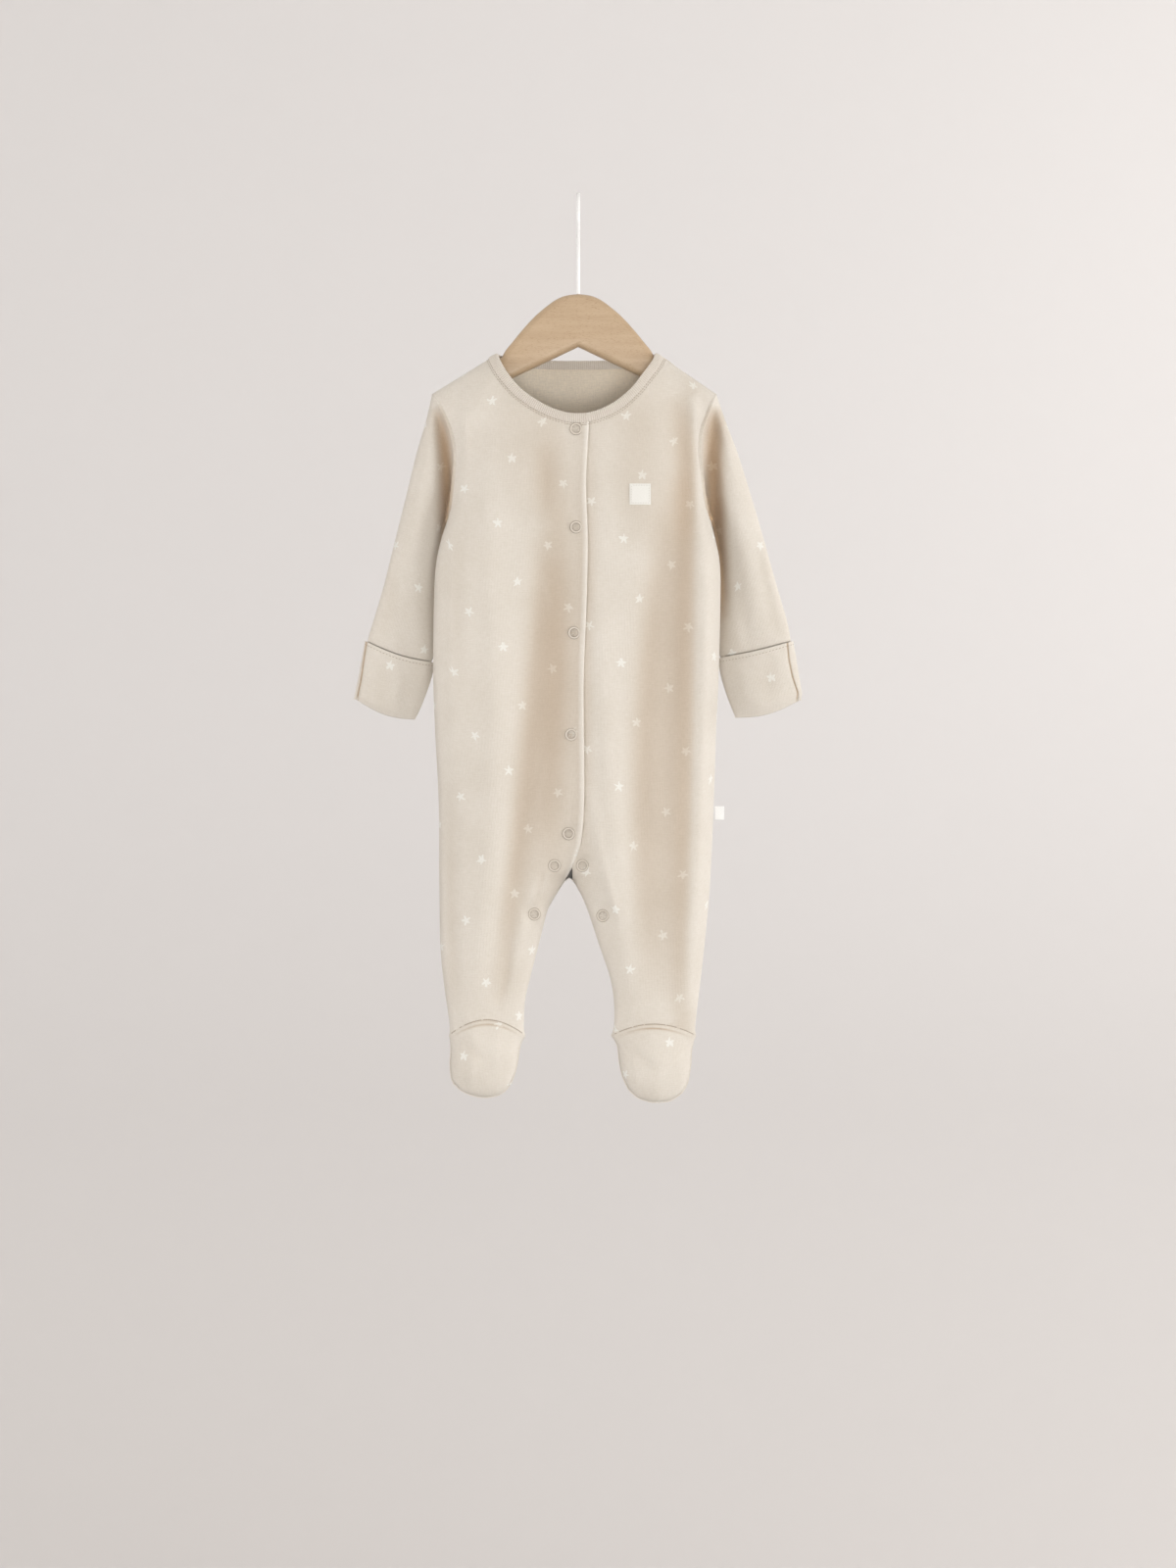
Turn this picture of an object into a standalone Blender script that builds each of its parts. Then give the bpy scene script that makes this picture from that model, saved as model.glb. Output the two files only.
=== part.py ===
"""Footed baby sleepsuit, snapped shut, on a child's wooden hanger.

The suit is sewn from two fronts (the right one laps over the left), a back, two
sleeves with scratch mitts folded over their ends, two feet and a ribbed neck
binding. Every cloth piece is an open surface with a Solidify wall that grows
inwards. "Right" and "left" are the wearer's: right is -X, and the front is -Y.

The tables are in millimetres. "drop" is the distance below the seat of the hook,
where the origin lies; "out" is the distance out from the middle of the suit.
"""
import math
from collections import namedtuple

import bmesh
import bpy
from mathutils import Vector
from mathutils.bvhtree import BVHTree

MM = 0.001

# Driving dimensions, in millimetres
WALL = 1.2               # interlock cloth
SEAM_GAP = 0.3           # between two pieces at a seam
LAP = WALL + 1.35        # how far a lower layer lies behind the one that laps it
RIB_THICKNESS = 2.0      # neck binding
RIB_PROUD = 0.4          # how far the binding stands out from the cloth
SHOULDER_ROUND = 70.0    # length over which the cloth rounds away from a shoulder
ROUNDNESS = 2.4          # of the sections; 2 is an ellipse, more is boxier
BACK_FLATNESS = 0.86     # the back hangs flatter than the front
SEAM_FLAT = 0.95         # flat of cloth beside a seam, square to the front
EDGE_STEP = 1.5          # first step in from a free edge
SLEEVE_FLAT = 1.4        # level stretch of a sleeve beside its armhole
INSET = 0.03             # keeps the flat beside a seam from folding onto itself
UNDERARM_GAP = 0.5       # extra gap where the front, back and sleeve seams meet

RIGHT, LEFT = -1, 1

# The body and legs, a row for each height: both side edges, the depth of the
# front, how full the armhole edge stands, how far forward the side seam is pushed
Level = namedtuple("Level", "drop right_out left_out depth armhole_fullness seam_forward")
BODY = [
    Level(148.0, 108.8, 102.9, 22.0, 0.95, 0.0),
    Level(163.0, 101.0, 96.0, 23.0, 0.80, 0.0),
    Level(177.0, 95.2, 90.2, 24.0, 0.70, 0.0),
    Level(192.0, 92.5, 88.5, 25.0, 0.62, 0.0),
    Level(208.0, 93.3, 90.4, 26.0, 0.55, 0.0),
    Level(225.0, 95.3, 94.4, 26.5, 0.42, 0.0),
    Level(236.0, 96.8, 97.3, 27.0, 0.26, 0.0),
    Level(242.0, 97.8, 99.0, 27.0, 0.0, 0.0),
    Level(257.0, 102.5, 102.6, 27.0, 0.0, 3.5),
    Level(273.0, 106.0, 105.8, 27.0, 0.0, 5.0),
    Level(292.0, 107.7, 106.7, 27.0, 0.0, 5.0),
    Level(359.0, 108.6, 105.3, 27.0, 0.0, 5.0),
    Level(400.0, 107.3, 103.5, 26.5, 0.0, 3.0),
    Level(456.0, 104.6, 101.7, 25.0, 0.0, 0.5),
    Level(518.0, 104.2, 98.8, 21.5, 0.0, 0.0),
    Level(564.0, 103.3, 94.6, 18.0, 0.0, 0.0),
    Level(595.0, 100.2, 91.0, 15.5, 0.0, 0.0),
    Level(617.0, 97.0, 88.4, 14.0, 0.0, 0.0),
    Level(630.5, 95.8, 87.3, 13.0, 0.0, 0.0),
]
SHOULDER_DROP = 148.0
ARM_DEPTH_DROP = 190.0   # armhole height level with the bottom of the neckline
UNDERARM_DROP = 242.0
CHEST_SHARE = 0.2        # of the placket's length that lies above the underarm
CROTCH_DROP = 512.0
THIGH_DROP = 508.0       # side seam height level with the crotch
ANKLE_DROP = 630.0
HIP_DROP = 440.0         # from here down the suit's one hollow parts into two legs
HIP_LENGTH = 80.0
BODY_CREST = 0.62        # where each half is deepest, as a share from its side seam
LEG_CREST = 0.50

# Where the legs part: the inner edge of each front, signed x
Inseam = namedtuple("Inseam", "drop right left")
INSEAM = [
    Inseam(118.0, 0.0, 0.0),
    Inseam(300.0, -1.0, -1.0),
    Inseam(430.0, -3.5, -3.5),
    Inseam(490.0, -4.8, -4.5),
    Inseam(502.0, -5.8, -4.1),
    Inseam(512.0, -9.6, -2.6),
    Inseam(524.0, -16.5, 2.1),
    Inseam(535.0, -22.6, 6.8),
    Inseam(547.0, -25.9, 10.9),
    Inseam(560.0, -29.2, 15.1),
    Inseam(586.0, -35.9, 23.8),
    Inseam(602.0, -39.6, 26.6),
    Inseam(617.0, -40.6, 27.1),
    Inseam(630.0, -40.7, 25.9),
]

# The placket: the free edge that laps over, and the hidden edge beneath it
Placket = namedtuple("Placket", "drop over under")
PLACKET = [
    Placket(170.4, 8.2, -12.0),
    Placket(217.0, 6.0, -12.0),
    Placket(258.0, 7.2, -12.0),
    Placket(307.0, 6.3, -12.5),
    Placket(366.0, 4.2, -13.5),
    Placket(433.0, 4.6, -15.0),
    Placket(465.0, 4.1, -14.0),
    Placket(485.0, 1.8, -10.0),
    Placket(495.0, -1.8, -6.5),
    Placket(502.0, -4.8, -4.2),
    Placket(512.0, -9.6, -2.6),
]
LAP_BLEND = 5.0          # width over which the lower layer dips under the placket
LAP_CLEAR = 2.0          # stretch beyond the placket edge that is still at full dip
LAP_END_DROP = 503.0
LAP_END_BLEND = 9.0

# The neck: the edge of the panel and the free edge of the rib, from the right
# shoulder round the front (or the back) to the left shoulder
Neck = namedtuple("Neck", "x drop rib_x rib_drop")
FRONT_NECK = [
    Neck(-66.2, 121.9, -60.6, 118.5),
    Neck(-63.6, 128.5, -58.0, 125.0),
    Neck(-57.3, 138.5, -52.3, 134.6),
    Neck(-46.9, 150.4, -42.9, 145.8),
    Neck(-33.3, 160.3, -30.6, 154.8),
    Neck(-21.1, 166.4, -19.2, 160.9),
    Neck(-9.0, 170.2, -8.4, 164.1),
    Neck(0.0, 171.0, 0.0, 164.8),
    Neck(9.0, 170.3, 8.4, 164.1),
    Neck(21.1, 166.4, 19.2, 160.5),
    Neck(33.0, 159.7, 30.0, 154.0),
    Neck(43.7, 149.8, 39.8, 145.3),
    Neck(52.8, 138.5, 48.0, 134.8),
    Neck(60.4, 127.8, 55.3, 124.6),
    Neck(63.5, 121.5, 58.1, 118.1),
]
BACK_NECK = [
    Neck(-66.2, 121.9, -60.6, 118.5),
    Neck(-55.0, 125.4, -51.5, 120.0),
    Neck(-38.0, 127.2, -36.0, 121.0),
    Neck(-19.0, 127.8, -18.5, 121.5),
    Neck(0.0, 127.9, 0.0, 121.6),
    Neck(19.0, 127.8, 18.5, 121.5),
    Neck(36.0, 127.0, 34.0, 120.9),
    Neck(52.5, 125.2, 49.0, 119.8),
    Neck(63.5, 121.5, 58.1, 118.1),
]

# The largest folds: three points of a crease or crest, its half width and its
# height (below zero for a trough). "left" names the wearer's side
Fold = namedtuple("Fold", "x1 drop1 x2 drop2 x3 drop3 width height")
FRONT_FOLDS = [
    Fold(-78.0, 190.0, -64.0, 350.0, -70.0, 580.0, 11.0, 2.6),
    Fold(-31.0, 294.0, -43.0, 480.0, -60.0, 600.0, 9.0, -3.2),
    Fold(-28.0, 190.0, -25.0, 215.0, -24.0, 240.0, 8.0, -1.4),
    Fold(-93.0, 470.0, -93.0, 540.0, -92.0, 605.0, 5.0, -1.8),
    Fold(-24.0, 508.0, -22.0, 520.0, -20.0, 536.0, 3.5, -1.4),
    Fold(22.0, 323.0, 27.0, 420.0, 40.0, 585.0, 10.0, 2.4),
    Fold(73.0, 235.0, 65.0, 400.0, 73.0, 585.0, 10.0, -3.4),
    Fold(14.0, 455.0, 20.0, 500.0, 27.0, 540.0, 4.0, 1.8),
    Fold(92.0, 300.0, 90.0, 440.0, 84.0, 590.0, 7.0, 2.0),
]
BACK_FOLDS = [
    Fold(-62.0, 210.0, -55.0, 380.0, -66.0, 585.0, 10.0, 2.4),
    Fold(-24.0, 250.0, -34.0, 420.0, -52.0, 590.0, 9.0, -3.0),
    Fold(30.0, 290.0, 34.0, 420.0, 50.0, 590.0, 9.0, 2.4),
    Fold(68.0, 230.0, 62.0, 400.0, 70.0, 580.0, 10.0, -3.0),
]
FOLD_EDGE = 14.0         # folds fade out this near to a seam

# Sleeves, a row for each ring: its outer and inner creases, its half depth and how
# far behind the body's middle plane each crease lies
Ring = namedtuple("Ring", "out drop in_out in_drop depth out_back in_back bow")
SLEEVE = {
    RIGHT: [
        Ring(109.6, 148.6, 98.5, 243.0, 14.0, 0.0, 0.0, 0.0),
        Ring(114.0, 168.0, 99.8, 247.5, 15.0, 1.0, 8.0, 0.0),
        Ring(121.6, 194.0, 101.8, 257.0, 15.5, 2.0, 12.5, 0.0),
        Ring(129.6, 226.5, 104.0, 272.0, 15.0, 3.0, 14.5, 0.0),
        Ring(137.9, 259.5, 105.4, 291.0, 14.0, 4.0, 15.0, 0.0),
        Ring(146.4, 293.5, 106.2, 316.0, 12.5, 4.0, 14.5, 0.0),
        Ring(153.4, 317.0, 107.6, 338.0, 10.5, 4.0, 12.5, 1.0),
        Ring(157.6, 331.0, 110.8, 350.5, 8.6, 4.0, 10.5, 3.0),
        Ring(159.0, 341.0, 114.0, 360.0, 6.4, 4.0, 9.5, 3.0),
    ],
    LEFT: [
        Ring(103.7, 148.6, 100.1, 243.2, 14.0, 0.0, 0.0, 0.0),
        Ring(110.0, 167.0, 100.6, 247.5, 15.0, 1.0, 8.0, 0.0),
        Ring(120.2, 194.0, 102.2, 257.0, 15.5, 2.0, 12.5, 0.0),
        Ring(130.4, 226.5, 103.8, 272.0, 15.0, 3.0, 14.5, 0.0),
        Ring(140.1, 259.5, 104.4, 291.0, 14.0, 4.0, 15.0, 0.0),
        Ring(149.2, 292.0, 104.2, 314.0, 12.5, 4.0, 14.5, 0.0),
        Ring(156.2, 316.0, 104.8, 336.0, 10.5, 4.0, 12.5, 1.0),
        Ring(159.2, 330.0, 107.8, 348.0, 8.6, 4.0, 10.5, 1.5),
        Ring(160.0, 340.0, 111.5, 357.0, 6.4, 4.0, 9.5, 1.5),
    ],
}
# Mitts, the same columns: from the free edge down to the folded bottom
MITT = {
    RIGHT: [
        Ring(160.3, 333.6, 107.8, 349.8, 10.6, 4.0, 10.5, 3.0),
        Ring(162.3, 345.0, 110.6, 362.0, 9.6, 4.0, 10.0, 4.0),
        Ring(165.0, 360.0, 115.2, 375.5, 7.8, 4.0, 9.5, 4.0),
        Ring(167.3, 371.0, 119.8, 386.5, 5.4, 4.0, 9.0, 4.2),
        Ring(168.1, 375.6, 122.5, 391.6, 2.4, 4.0, 8.5, 4.4),
    ],
    LEFT: [
        Ring(161.6, 333.6, 105.0, 346.4, 10.6, 4.0, 10.5, 1.2),
        Ring(163.8, 346.0, 107.4, 360.0, 9.6, 4.0, 10.0, 2.4),
        Ring(166.2, 361.0, 111.6, 374.0, 7.8, 4.0, 9.5, 3.2),
        Ring(168.1, 372.0, 115.8, 385.0, 5.4, 4.0, 9.0, 3.8),
        Ring(167.4, 376.6, 118.0, 390.2, 2.4, 4.0, 8.5, 4.2),
    ],
}

# Feet: both side edges going down, then the toe's edge going across, signed x
FootSide = namedtuple("FootSide", "outer_x outer_drop inner_x inner_drop")
FootToe = namedtuple("FootToe", "x drop")
FOOT_SIDES = {
    RIGHT: [
        FootSide(-95.6, 631.0, -40.9, 630.4),
        FootSide(-95.2, 640.7, -44.2, 638.0),
        FootSide(-95.7, 650.0, -45.5, 647.0),
        FootSide(-95.0, 659.4, -47.6, 656.6),
        FootSide(-92.8, 664.8, -50.7, 664.1),
    ],
    LEFT: [
        FootSide(87.1, 631.0, 26.1, 630.4),
        FootSide(84.6, 640.7, 29.9, 638.0),
        FootSide(83.9, 651.7, 31.0, 648.0),
        FootSide(81.6, 664.1, 33.4, 659.3),
        FootSide(77.4, 671.6, 37.9, 668.7),
    ],
}
FOOT_TOE = {
    RIGHT: [
        FootToe(-92.8, 664.8),
        FootToe(-86.5, 670.3),
        FootToe(-78.7, 673.8),
        FootToe(-69.4, 675.2),
        FootToe(-60.6, 673.6),
        FootToe(-54.8, 669.9),
        FootToe(-50.7, 664.1),
    ],
    LEFT: [
        FootToe(77.4, 671.6),
        FootToe(69.4, 677.2),
        FootToe(61.2, 678.8),
        FootToe(54.0, 678.5),
        FootToe(45.6, 675.7),
        FootToe(41.0, 672.2),
        FootToe(37.9, 668.7),
    ],
}
ANKLE_ARCH = {RIGHT: 13.0, LEFT: 9.8}    # rise of the curved seam over the foot
FOOT_WIDTH, FOOT_LENGTH = 50.0, 45.0     # about, to scale the flat beside the seams
TOE_ROUND = 2.6          # as ROUNDNESS, for the toe
FOOT_PUFF = 0.28         # how much deeper the foot is than the ankle
TOE_FORWARD = 7.0        # the toes hang forward of the ankle
SOLE_FLATNESS = 0.8

# Trim
SNAP_RADIUS = 4.75
SNAP_HOLE = 2.8          # radius of the open middle
SNAP_HEIGHT = 1.1
SNAP_SEAT = 0.45         # gap to the cloth
SNAPS = [
    ("front_right", -1.5, 176.6),
    ("front_right", -1.5, 249.9),
    ("front_right", -2.9, 328.5),
    ("front_right", -5.1, 404.3),
    ("front_right", -7.1, 478.0),
    ("front_right", -17.6, 501.9),
    ("front_left", 3.2, 501.9),
    ("front_right", -32.7, 538.2),
    ("front_left", 18.4, 539.3),
]
PATCH_CENTRE = (46.1, 225.4)
PATCH_SIZE = 15.5
PATCH_THICKNESS = 0.8
PATCH_SEAT = 0.4         # gap to the cloth
LABEL_DROP = (457.5, 467.8)
LABEL_OUT = (102.1, 109.6)
LABEL_THICKNESS = 1.2

# Hanger
BOARD_THICKNESS = 12.0
BOARD_ROUND = 5.0        # radius along the board's edges
BOARD_SEAT = 2.05        # cloth line to the top of the board, square to the shoulder
CROWN_OUT = [0.0, 9.0, 16.0, 24.0, 33.0, 43.0, 50.5, 54.5, 57.4]
CROWN_DROP = [73.5, 74.7, 77.4, 83.0, 90.8, 101.8, 111.0, 115.9, 121.2]
ARM_OUT = [66.5, 76.0, 86.0, 96.0]
ARM_HEIGHT = 16.0
NOTCH_DROP = 113.2       # point of the notch under the crown
NOTCH_OUT = 48.0
NOTCH_FOOT_DROP = 136.0
WIRE_RADIUS = 1.4
HOOK_RADIUS = 16.4       # to the wire's middle
HOOK_SHANK_DROP = 52.0   # where the straight shank starts to swing forward
HOOK_SWING = 12.0        # how far each end of that swing runs straight on
HOOK_JOIN_ANGLE = 215.0  # where the swing meets the bend, from level behind the rail
HOOK_TIP_ANGLE = 32.0    # below level, behind the rail
BORE_RADIUS = WIRE_RADIUS + 0.35
BORE_DEPTH = 12.0

# Finishes: linear colours and roughness
JERSEY_COLOR = (0.69, 0.60, 0.50)
SNAP_COLOR = (0.62, 0.56, 0.49)
PATCH_COLOR = (0.78, 0.76, 0.72)
LABEL_COLOR = (0.88, 0.88, 0.87)
BEECH_COLOR = (0.62, 0.46, 0.29)
WIRE_COLOR = (0.90, 0.90, 0.90)
CLOTH_ROUGHNESS = 0.9
RIBBON_ROUGHNESS = 0.7
LACQUER_ROUGHNESS = 0.55
ENAMEL_ROUGHNESS = 0.35


def read_column(rows, column, key, at):
    """Reads a table's column at any key on a smooth curve through its rows."""
    keys = [getattr(row, key) for row in rows]
    values = [getattr(row, column) for row in rows]
    if at <= keys[0]:
        return values[0]
    if at >= keys[-1]:
        return values[-1]
    i = max(k for k in range(len(keys) - 1) if keys[k] <= at)
    return hermite(keys, values, i, at)


def hermite(keys, values, i, at):
    """Cubic through two neighbouring rows, with slopes from the rows beyond them."""
    def slope(k):
        low, high = max(k - 1, 0), min(k + 1, len(keys) - 1)
        return (values[high] - values[low]) / (keys[high] - keys[low])
    span = keys[i + 1] - keys[i]
    t = (at - keys[i]) / span
    return ((2 * t**3 - 3 * t**2 + 1) * values[i] + (t**3 - 2 * t**2 + t) * span * slope(i)
            + (3 * t**2 - 2 * t**3) * values[i + 1] + (t**3 - t**2) * span * slope(i + 1))


def along(rows, t):
    """All the columns of a table at t, from 0 at its first row to 1 at its last."""
    columns = rows[0]._fields
    place = min(max(t, 0.0), 1.0) * (len(rows) - 1)
    i = min(int(place), len(rows) - 2)
    keys = list(range(len(rows)))
    return {name: hermite(keys, [getattr(row, name) for row in rows], i, place)
            for name in columns}


def lerp(a, b, t):
    return a + (b - a) * t


def smooth(t):
    t = min(max(t, 0.0), 1.0)
    return t * t * (3 - 2 * t)


def rise(t, power=ROUNDNESS):
    """Quarter of a rounded section: 0 at a seam, upright there, and 1 at its crest."""
    t = min(max(t, 0.0), 1.0)
    return (1 - (1 - t) ** power) ** (1 / power)


def body(column, drop):
    return read_column(BODY, column, "drop", drop)


def side_edge(side, drop):
    """Signed x of the outer edge of the body and leg."""
    return side * body("right_out" if side == RIGHT else "left_out", drop)


def inner_edge(side, drop):
    return read_column(INSEAM, "right" if side == RIGHT else "left", "drop", drop)


def centre_line(drop):
    return (inner_edge(RIGHT, drop) + inner_edge(LEFT, drop)) / 2


def neck_point(side):
    row = FRONT_NECK[0] if side == RIGHT else FRONT_NECK[-1]
    return Vector((row.rib_x, -row.rib_drop))


def shoulder_tip(side):
    return Vector((side_edge(side, SHOULDER_DROP), -SHOULDER_DROP))


def below_shoulder(side, x, drop):
    """Distance from the shoulder line, which the cloth folds over."""
    tip, neck, point = shoulder_tip(side), neck_point(side), Vector((x, -drop))
    line = neck - tip
    t = min(max((point - tip).dot(line) / line.length_squared, 0.0), 1.0)
    return (point - tip - line * t).length


def distance_to_fold(fold, x, drop):
    """Distance from a point to a bent fold, and how far along the fold it lies."""
    stops = [Vector((fold.x1, fold.drop1)), Vector((fold.x2, fold.drop2)),
             Vector((fold.x3, fold.drop3))]
    best = (1e9, 0.0)
    point = Vector((x, drop))
    for i in range(2):
        line = stops[i + 1] - stops[i]
        t = min(max((point - stops[i]).dot(line) / line.length_squared, 0.0), 1.0)
        best = min(best, ((point - stops[i] - line * t).length, (i + t) / 2))
    return best


def fold_height(folds, x, drop, from_seam):
    total = 0.0
    for fold in folds:
        away, t = distance_to_fold(fold, x, drop)
        total += fold.height * math.exp(-(away / fold.width) ** 2) * math.sin(math.pi * t) ** 0.5
    return total * smooth(from_seam / FOLD_EDGE)


def crotch_fullness(drop):
    """Depth of the middle of the suit, from full at the belly to none at the crotch."""
    t = min(max((drop - HIP_DROP) / (CROTCH_DROP - HIP_DROP), 0.0), 1.0)
    return (1 - t**ROUNDNESS) ** (1 / ROUNDNESS)


def half_depth(x, drop, folds):
    """Distance from the seam plane to the outside of the cloth."""
    side = RIGHT if x < centre_line(drop) else LEFT
    outer, inner = side_edge(side, drop), inner_edge(side, drop)
    across = min(max((x - outer) / (inner - outer), 0.0), 1.0)
    crest = lerp(BODY_CREST, LEG_CREST, smooth((drop - HIP_DROP) / HIP_LENGTH))
    outer_low = max(body("armhole_fullness", drop), 0.0)
    inner_low = crotch_fullness(drop)
    if across < crest:
        low, t = outer_low, across / crest
    else:
        low, t = inner_low, (1 - across) / (1 - crest)
    section = (1 - (1 - low**ROUNDNESS) * (1 - t) ** ROUNDNESS) ** (1 / ROUNDNESS)
    from_shoulder = below_shoulder(side, x, drop)
    depth = body("depth", drop) * rise(from_shoulder / SHOULDER_ROUND) * section
    seam_near = min(abs(x - outer), from_shoulder)
    if drop > CROTCH_DROP - 30.0:
        seam_near = min(seam_near, abs(x - inner))
    return depth + fold_height(folds, x, drop, seam_near)


def seam_plane(x, drop):
    """The y of the seams: the body's side seams are pushed forward, past the sleeves."""
    side = RIGHT if x < centre_line(drop) else LEFT
    outer, inner = side_edge(side, drop), inner_edge(side, drop)
    across = (x - outer) / (inner - outer)
    return -body("seam_forward", drop) * (1 - smooth(across / 0.5))


def half_gap(drop):
    """Half the gap between the front and back, wider where the sleeve seam joins."""
    return SEAM_GAP / 2 + UNDERARM_GAP * math.exp(-((drop - UNDERARM_DROP - 6.0) / 14.0) ** 2)


def on_front(x, drop):
    depth = max(half_depth(x, drop, FRONT_FOLDS), half_gap(drop))
    return Vector((x, seam_plane(x, drop) - depth, -drop))


def on_back(x, drop):
    depth = max(half_depth(x, drop, BACK_FOLDS) * BACK_FLATNESS, half_gap(drop))
    return Vector((x, seam_plane(x, drop) + depth, -drop))


def facing(surface, x, drop):
    """Outward normal of on_front or on_back at a point."""
    step = 0.5
    across = surface(x + step, drop) - surface(x - step, drop)
    down = surface(x, drop + step) - surface(x, drop - step)
    normal = across.cross(down).normalized()
    outward = -1 if surface is on_front else 1
    return normal if normal.y * outward > 0 else -normal


def under_lap(x, drop):
    """1 where the left front lies beneath the placket, 0 where it is clear of it."""
    over = read_column(PLACKET, "over", "drop", drop)
    beside = smooth((over + LAP_CLEAR + LAP_BLEND - x) / LAP_BLEND)
    return beside * (1 - smooth((drop - LAP_END_DROP) / LAP_END_BLEND))


def on_left_front(x, drop):
    point = on_front(x, drop)
    hidden = under_lap(x, drop)
    if hidden > 0:
        point = point - facing(on_front, x, drop) * LAP * hidden
    return point


def neck_length(rows):
    steps = 60
    points = [along(rows, i / steps) for i in range(steps + 1)]
    lengths = [0.0]
    for a, b in zip(points, points[1:]):
        lengths.append(lengths[-1] + math.hypot(b["x"] - a["x"], b["drop"] - a["drop"]))
    return lengths


def at_length(rows, share):
    """The t of a neck table at a share of its length."""
    lengths = neck_length(rows)
    target = share * lengths[-1]
    i = min(max(k for k in range(len(lengths)) if lengths[k] <= target), len(lengths) - 2)
    return (i + (target - lengths[i]) / (lengths[i + 1] - lengths[i])) / (len(lengths) - 1)


def share_at_x(rows, x):
    """The share of a neck table's length at which it passes x."""
    low, high = 0.0, 1.0
    for _ in range(30):
        middle = (low + high) / 2
        if along(rows, at_length(rows, middle))["x"] < x:
            low = middle
        else:
            high = middle
    return low


def bare_collection(name):
    collection = bpy.data.collections.new(name)
    bpy.context.scene.collection.children.link(collection)
    return collection


def give_finish(part, color, roughness, metallic=0.0):
    material = bpy.data.materials.new(part.name)
    material.use_nodes = True
    shader = material.node_tree.nodes["Principled BSDF"]
    shader.inputs["Base Color"].default_value = (*color, 1.0)
    shader.inputs["Roughness"].default_value = roughness
    shader.inputs["Metallic"].default_value = metallic
    part.data.materials.append(material)


def sheet_mesh(name, grids, guide):
    """Welds grids of points into one open sheet, its faces turned towards the guide."""
    build = bmesh.new()
    for grid in grids:
        rows = [[build.verts.new(point * MM) for point in row] for row in grid]
        for upper, lower in zip(rows, rows[1:]):
            for i in range(len(upper) - 1):
                build.faces.new((upper[i], lower[i], lower[i + 1], upper[i + 1]))
    bmesh.ops.remove_doubles(build, verts=build.verts, dist=1e-6)
    bmesh.ops.recalc_face_normals(build, faces=build.faces)
    build.normal_update()
    if sum(face.normal.dot(guide(face.calc_center_median() / MM)) * face.calc_area()
           for face in build.faces) < 0:
        bmesh.ops.reverse_faces(build, faces=build.faces)
    mesh = bpy.data.meshes.new(name)
    build.to_mesh(mesh)
    build.free()
    mesh.shade_smooth()
    return mesh


def cloth_piece(name, grids, guide, wall=WALL, color=JERSEY_COLOR):
    """An open sheet with a cloth wall that grows inwards."""
    piece = bpy.data.objects.new(name, sheet_mesh(name, grids, guide))
    parts.objects.link(piece)
    solidify = piece.modifiers.new("wall", "SOLIDIFY")
    solidify.thickness = wall * MM
    solidify.offset = -1.0
    give_finish(piece, color, CLOTH_ROUGHNESS)


NECK_ROWS = 8
ARM_ROWS = 4
BODY_ROWS = 12
LEG_ROWS = 8


def from_shoulder(i):
    """Share along a neckline or armhole of row i, close together at the shoulder."""
    return (i / NECK_ROWS) ** 1.7


def row_stations():
    """Heights of the rows of a front or back: on the outer edge, and on the inner
    edge as a share of the neckline or as a drop."""
    stations = []
    for i in range(NECK_ROWS):
        t = from_shoulder(i)
        stations.append((lerp(SHOULDER_DROP, ARM_DEPTH_DROP, t), "neck", t))
    for i in range(ARM_ROWS):
        t = i / ARM_ROWS
        stations.append((lerp(ARM_DEPTH_DROP, UNDERARM_DROP, t), "placket", t * CHEST_SHARE))
    for i in range(BODY_ROWS):
        t = i / BODY_ROWS
        inner = lerp(CHEST_SHARE, 1.0, 1 - (1 - t) ** 1.5)
        stations.append((lerp(UNDERARM_DROP, THIGH_DROP, t), "placket", inner))
    for i in range(LEG_ROWS + 1):
        t = i / LEG_ROWS
        stations.append((lerp(THIGH_DROP, ANKLE_DROP, t), "leg", t))
    return stations


COLUMNS = 10
COLUMN_BLEND = 70.0      # length below the hips over which the columns even out


def across_shares(leg):
    """Shares across a row: close together beside a seam, and even beside the placket."""
    even = [1 - math.cos(math.pi / 2 * j / COLUMNS) for j in range(COLUMNS + 1)]
    both = [(1 - math.cos(math.pi * j / COLUMNS)) / 2 for j in range(COLUMNS + 1)]
    return [lerp(a, b, leg) for a, b in zip(even, both)]


def arch_rise(side, share):
    """Height of the ankle seam over the straight line between its ends."""
    return ANKLE_ARCH[side] * math.sin(math.pi * share) ** 0.8


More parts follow.
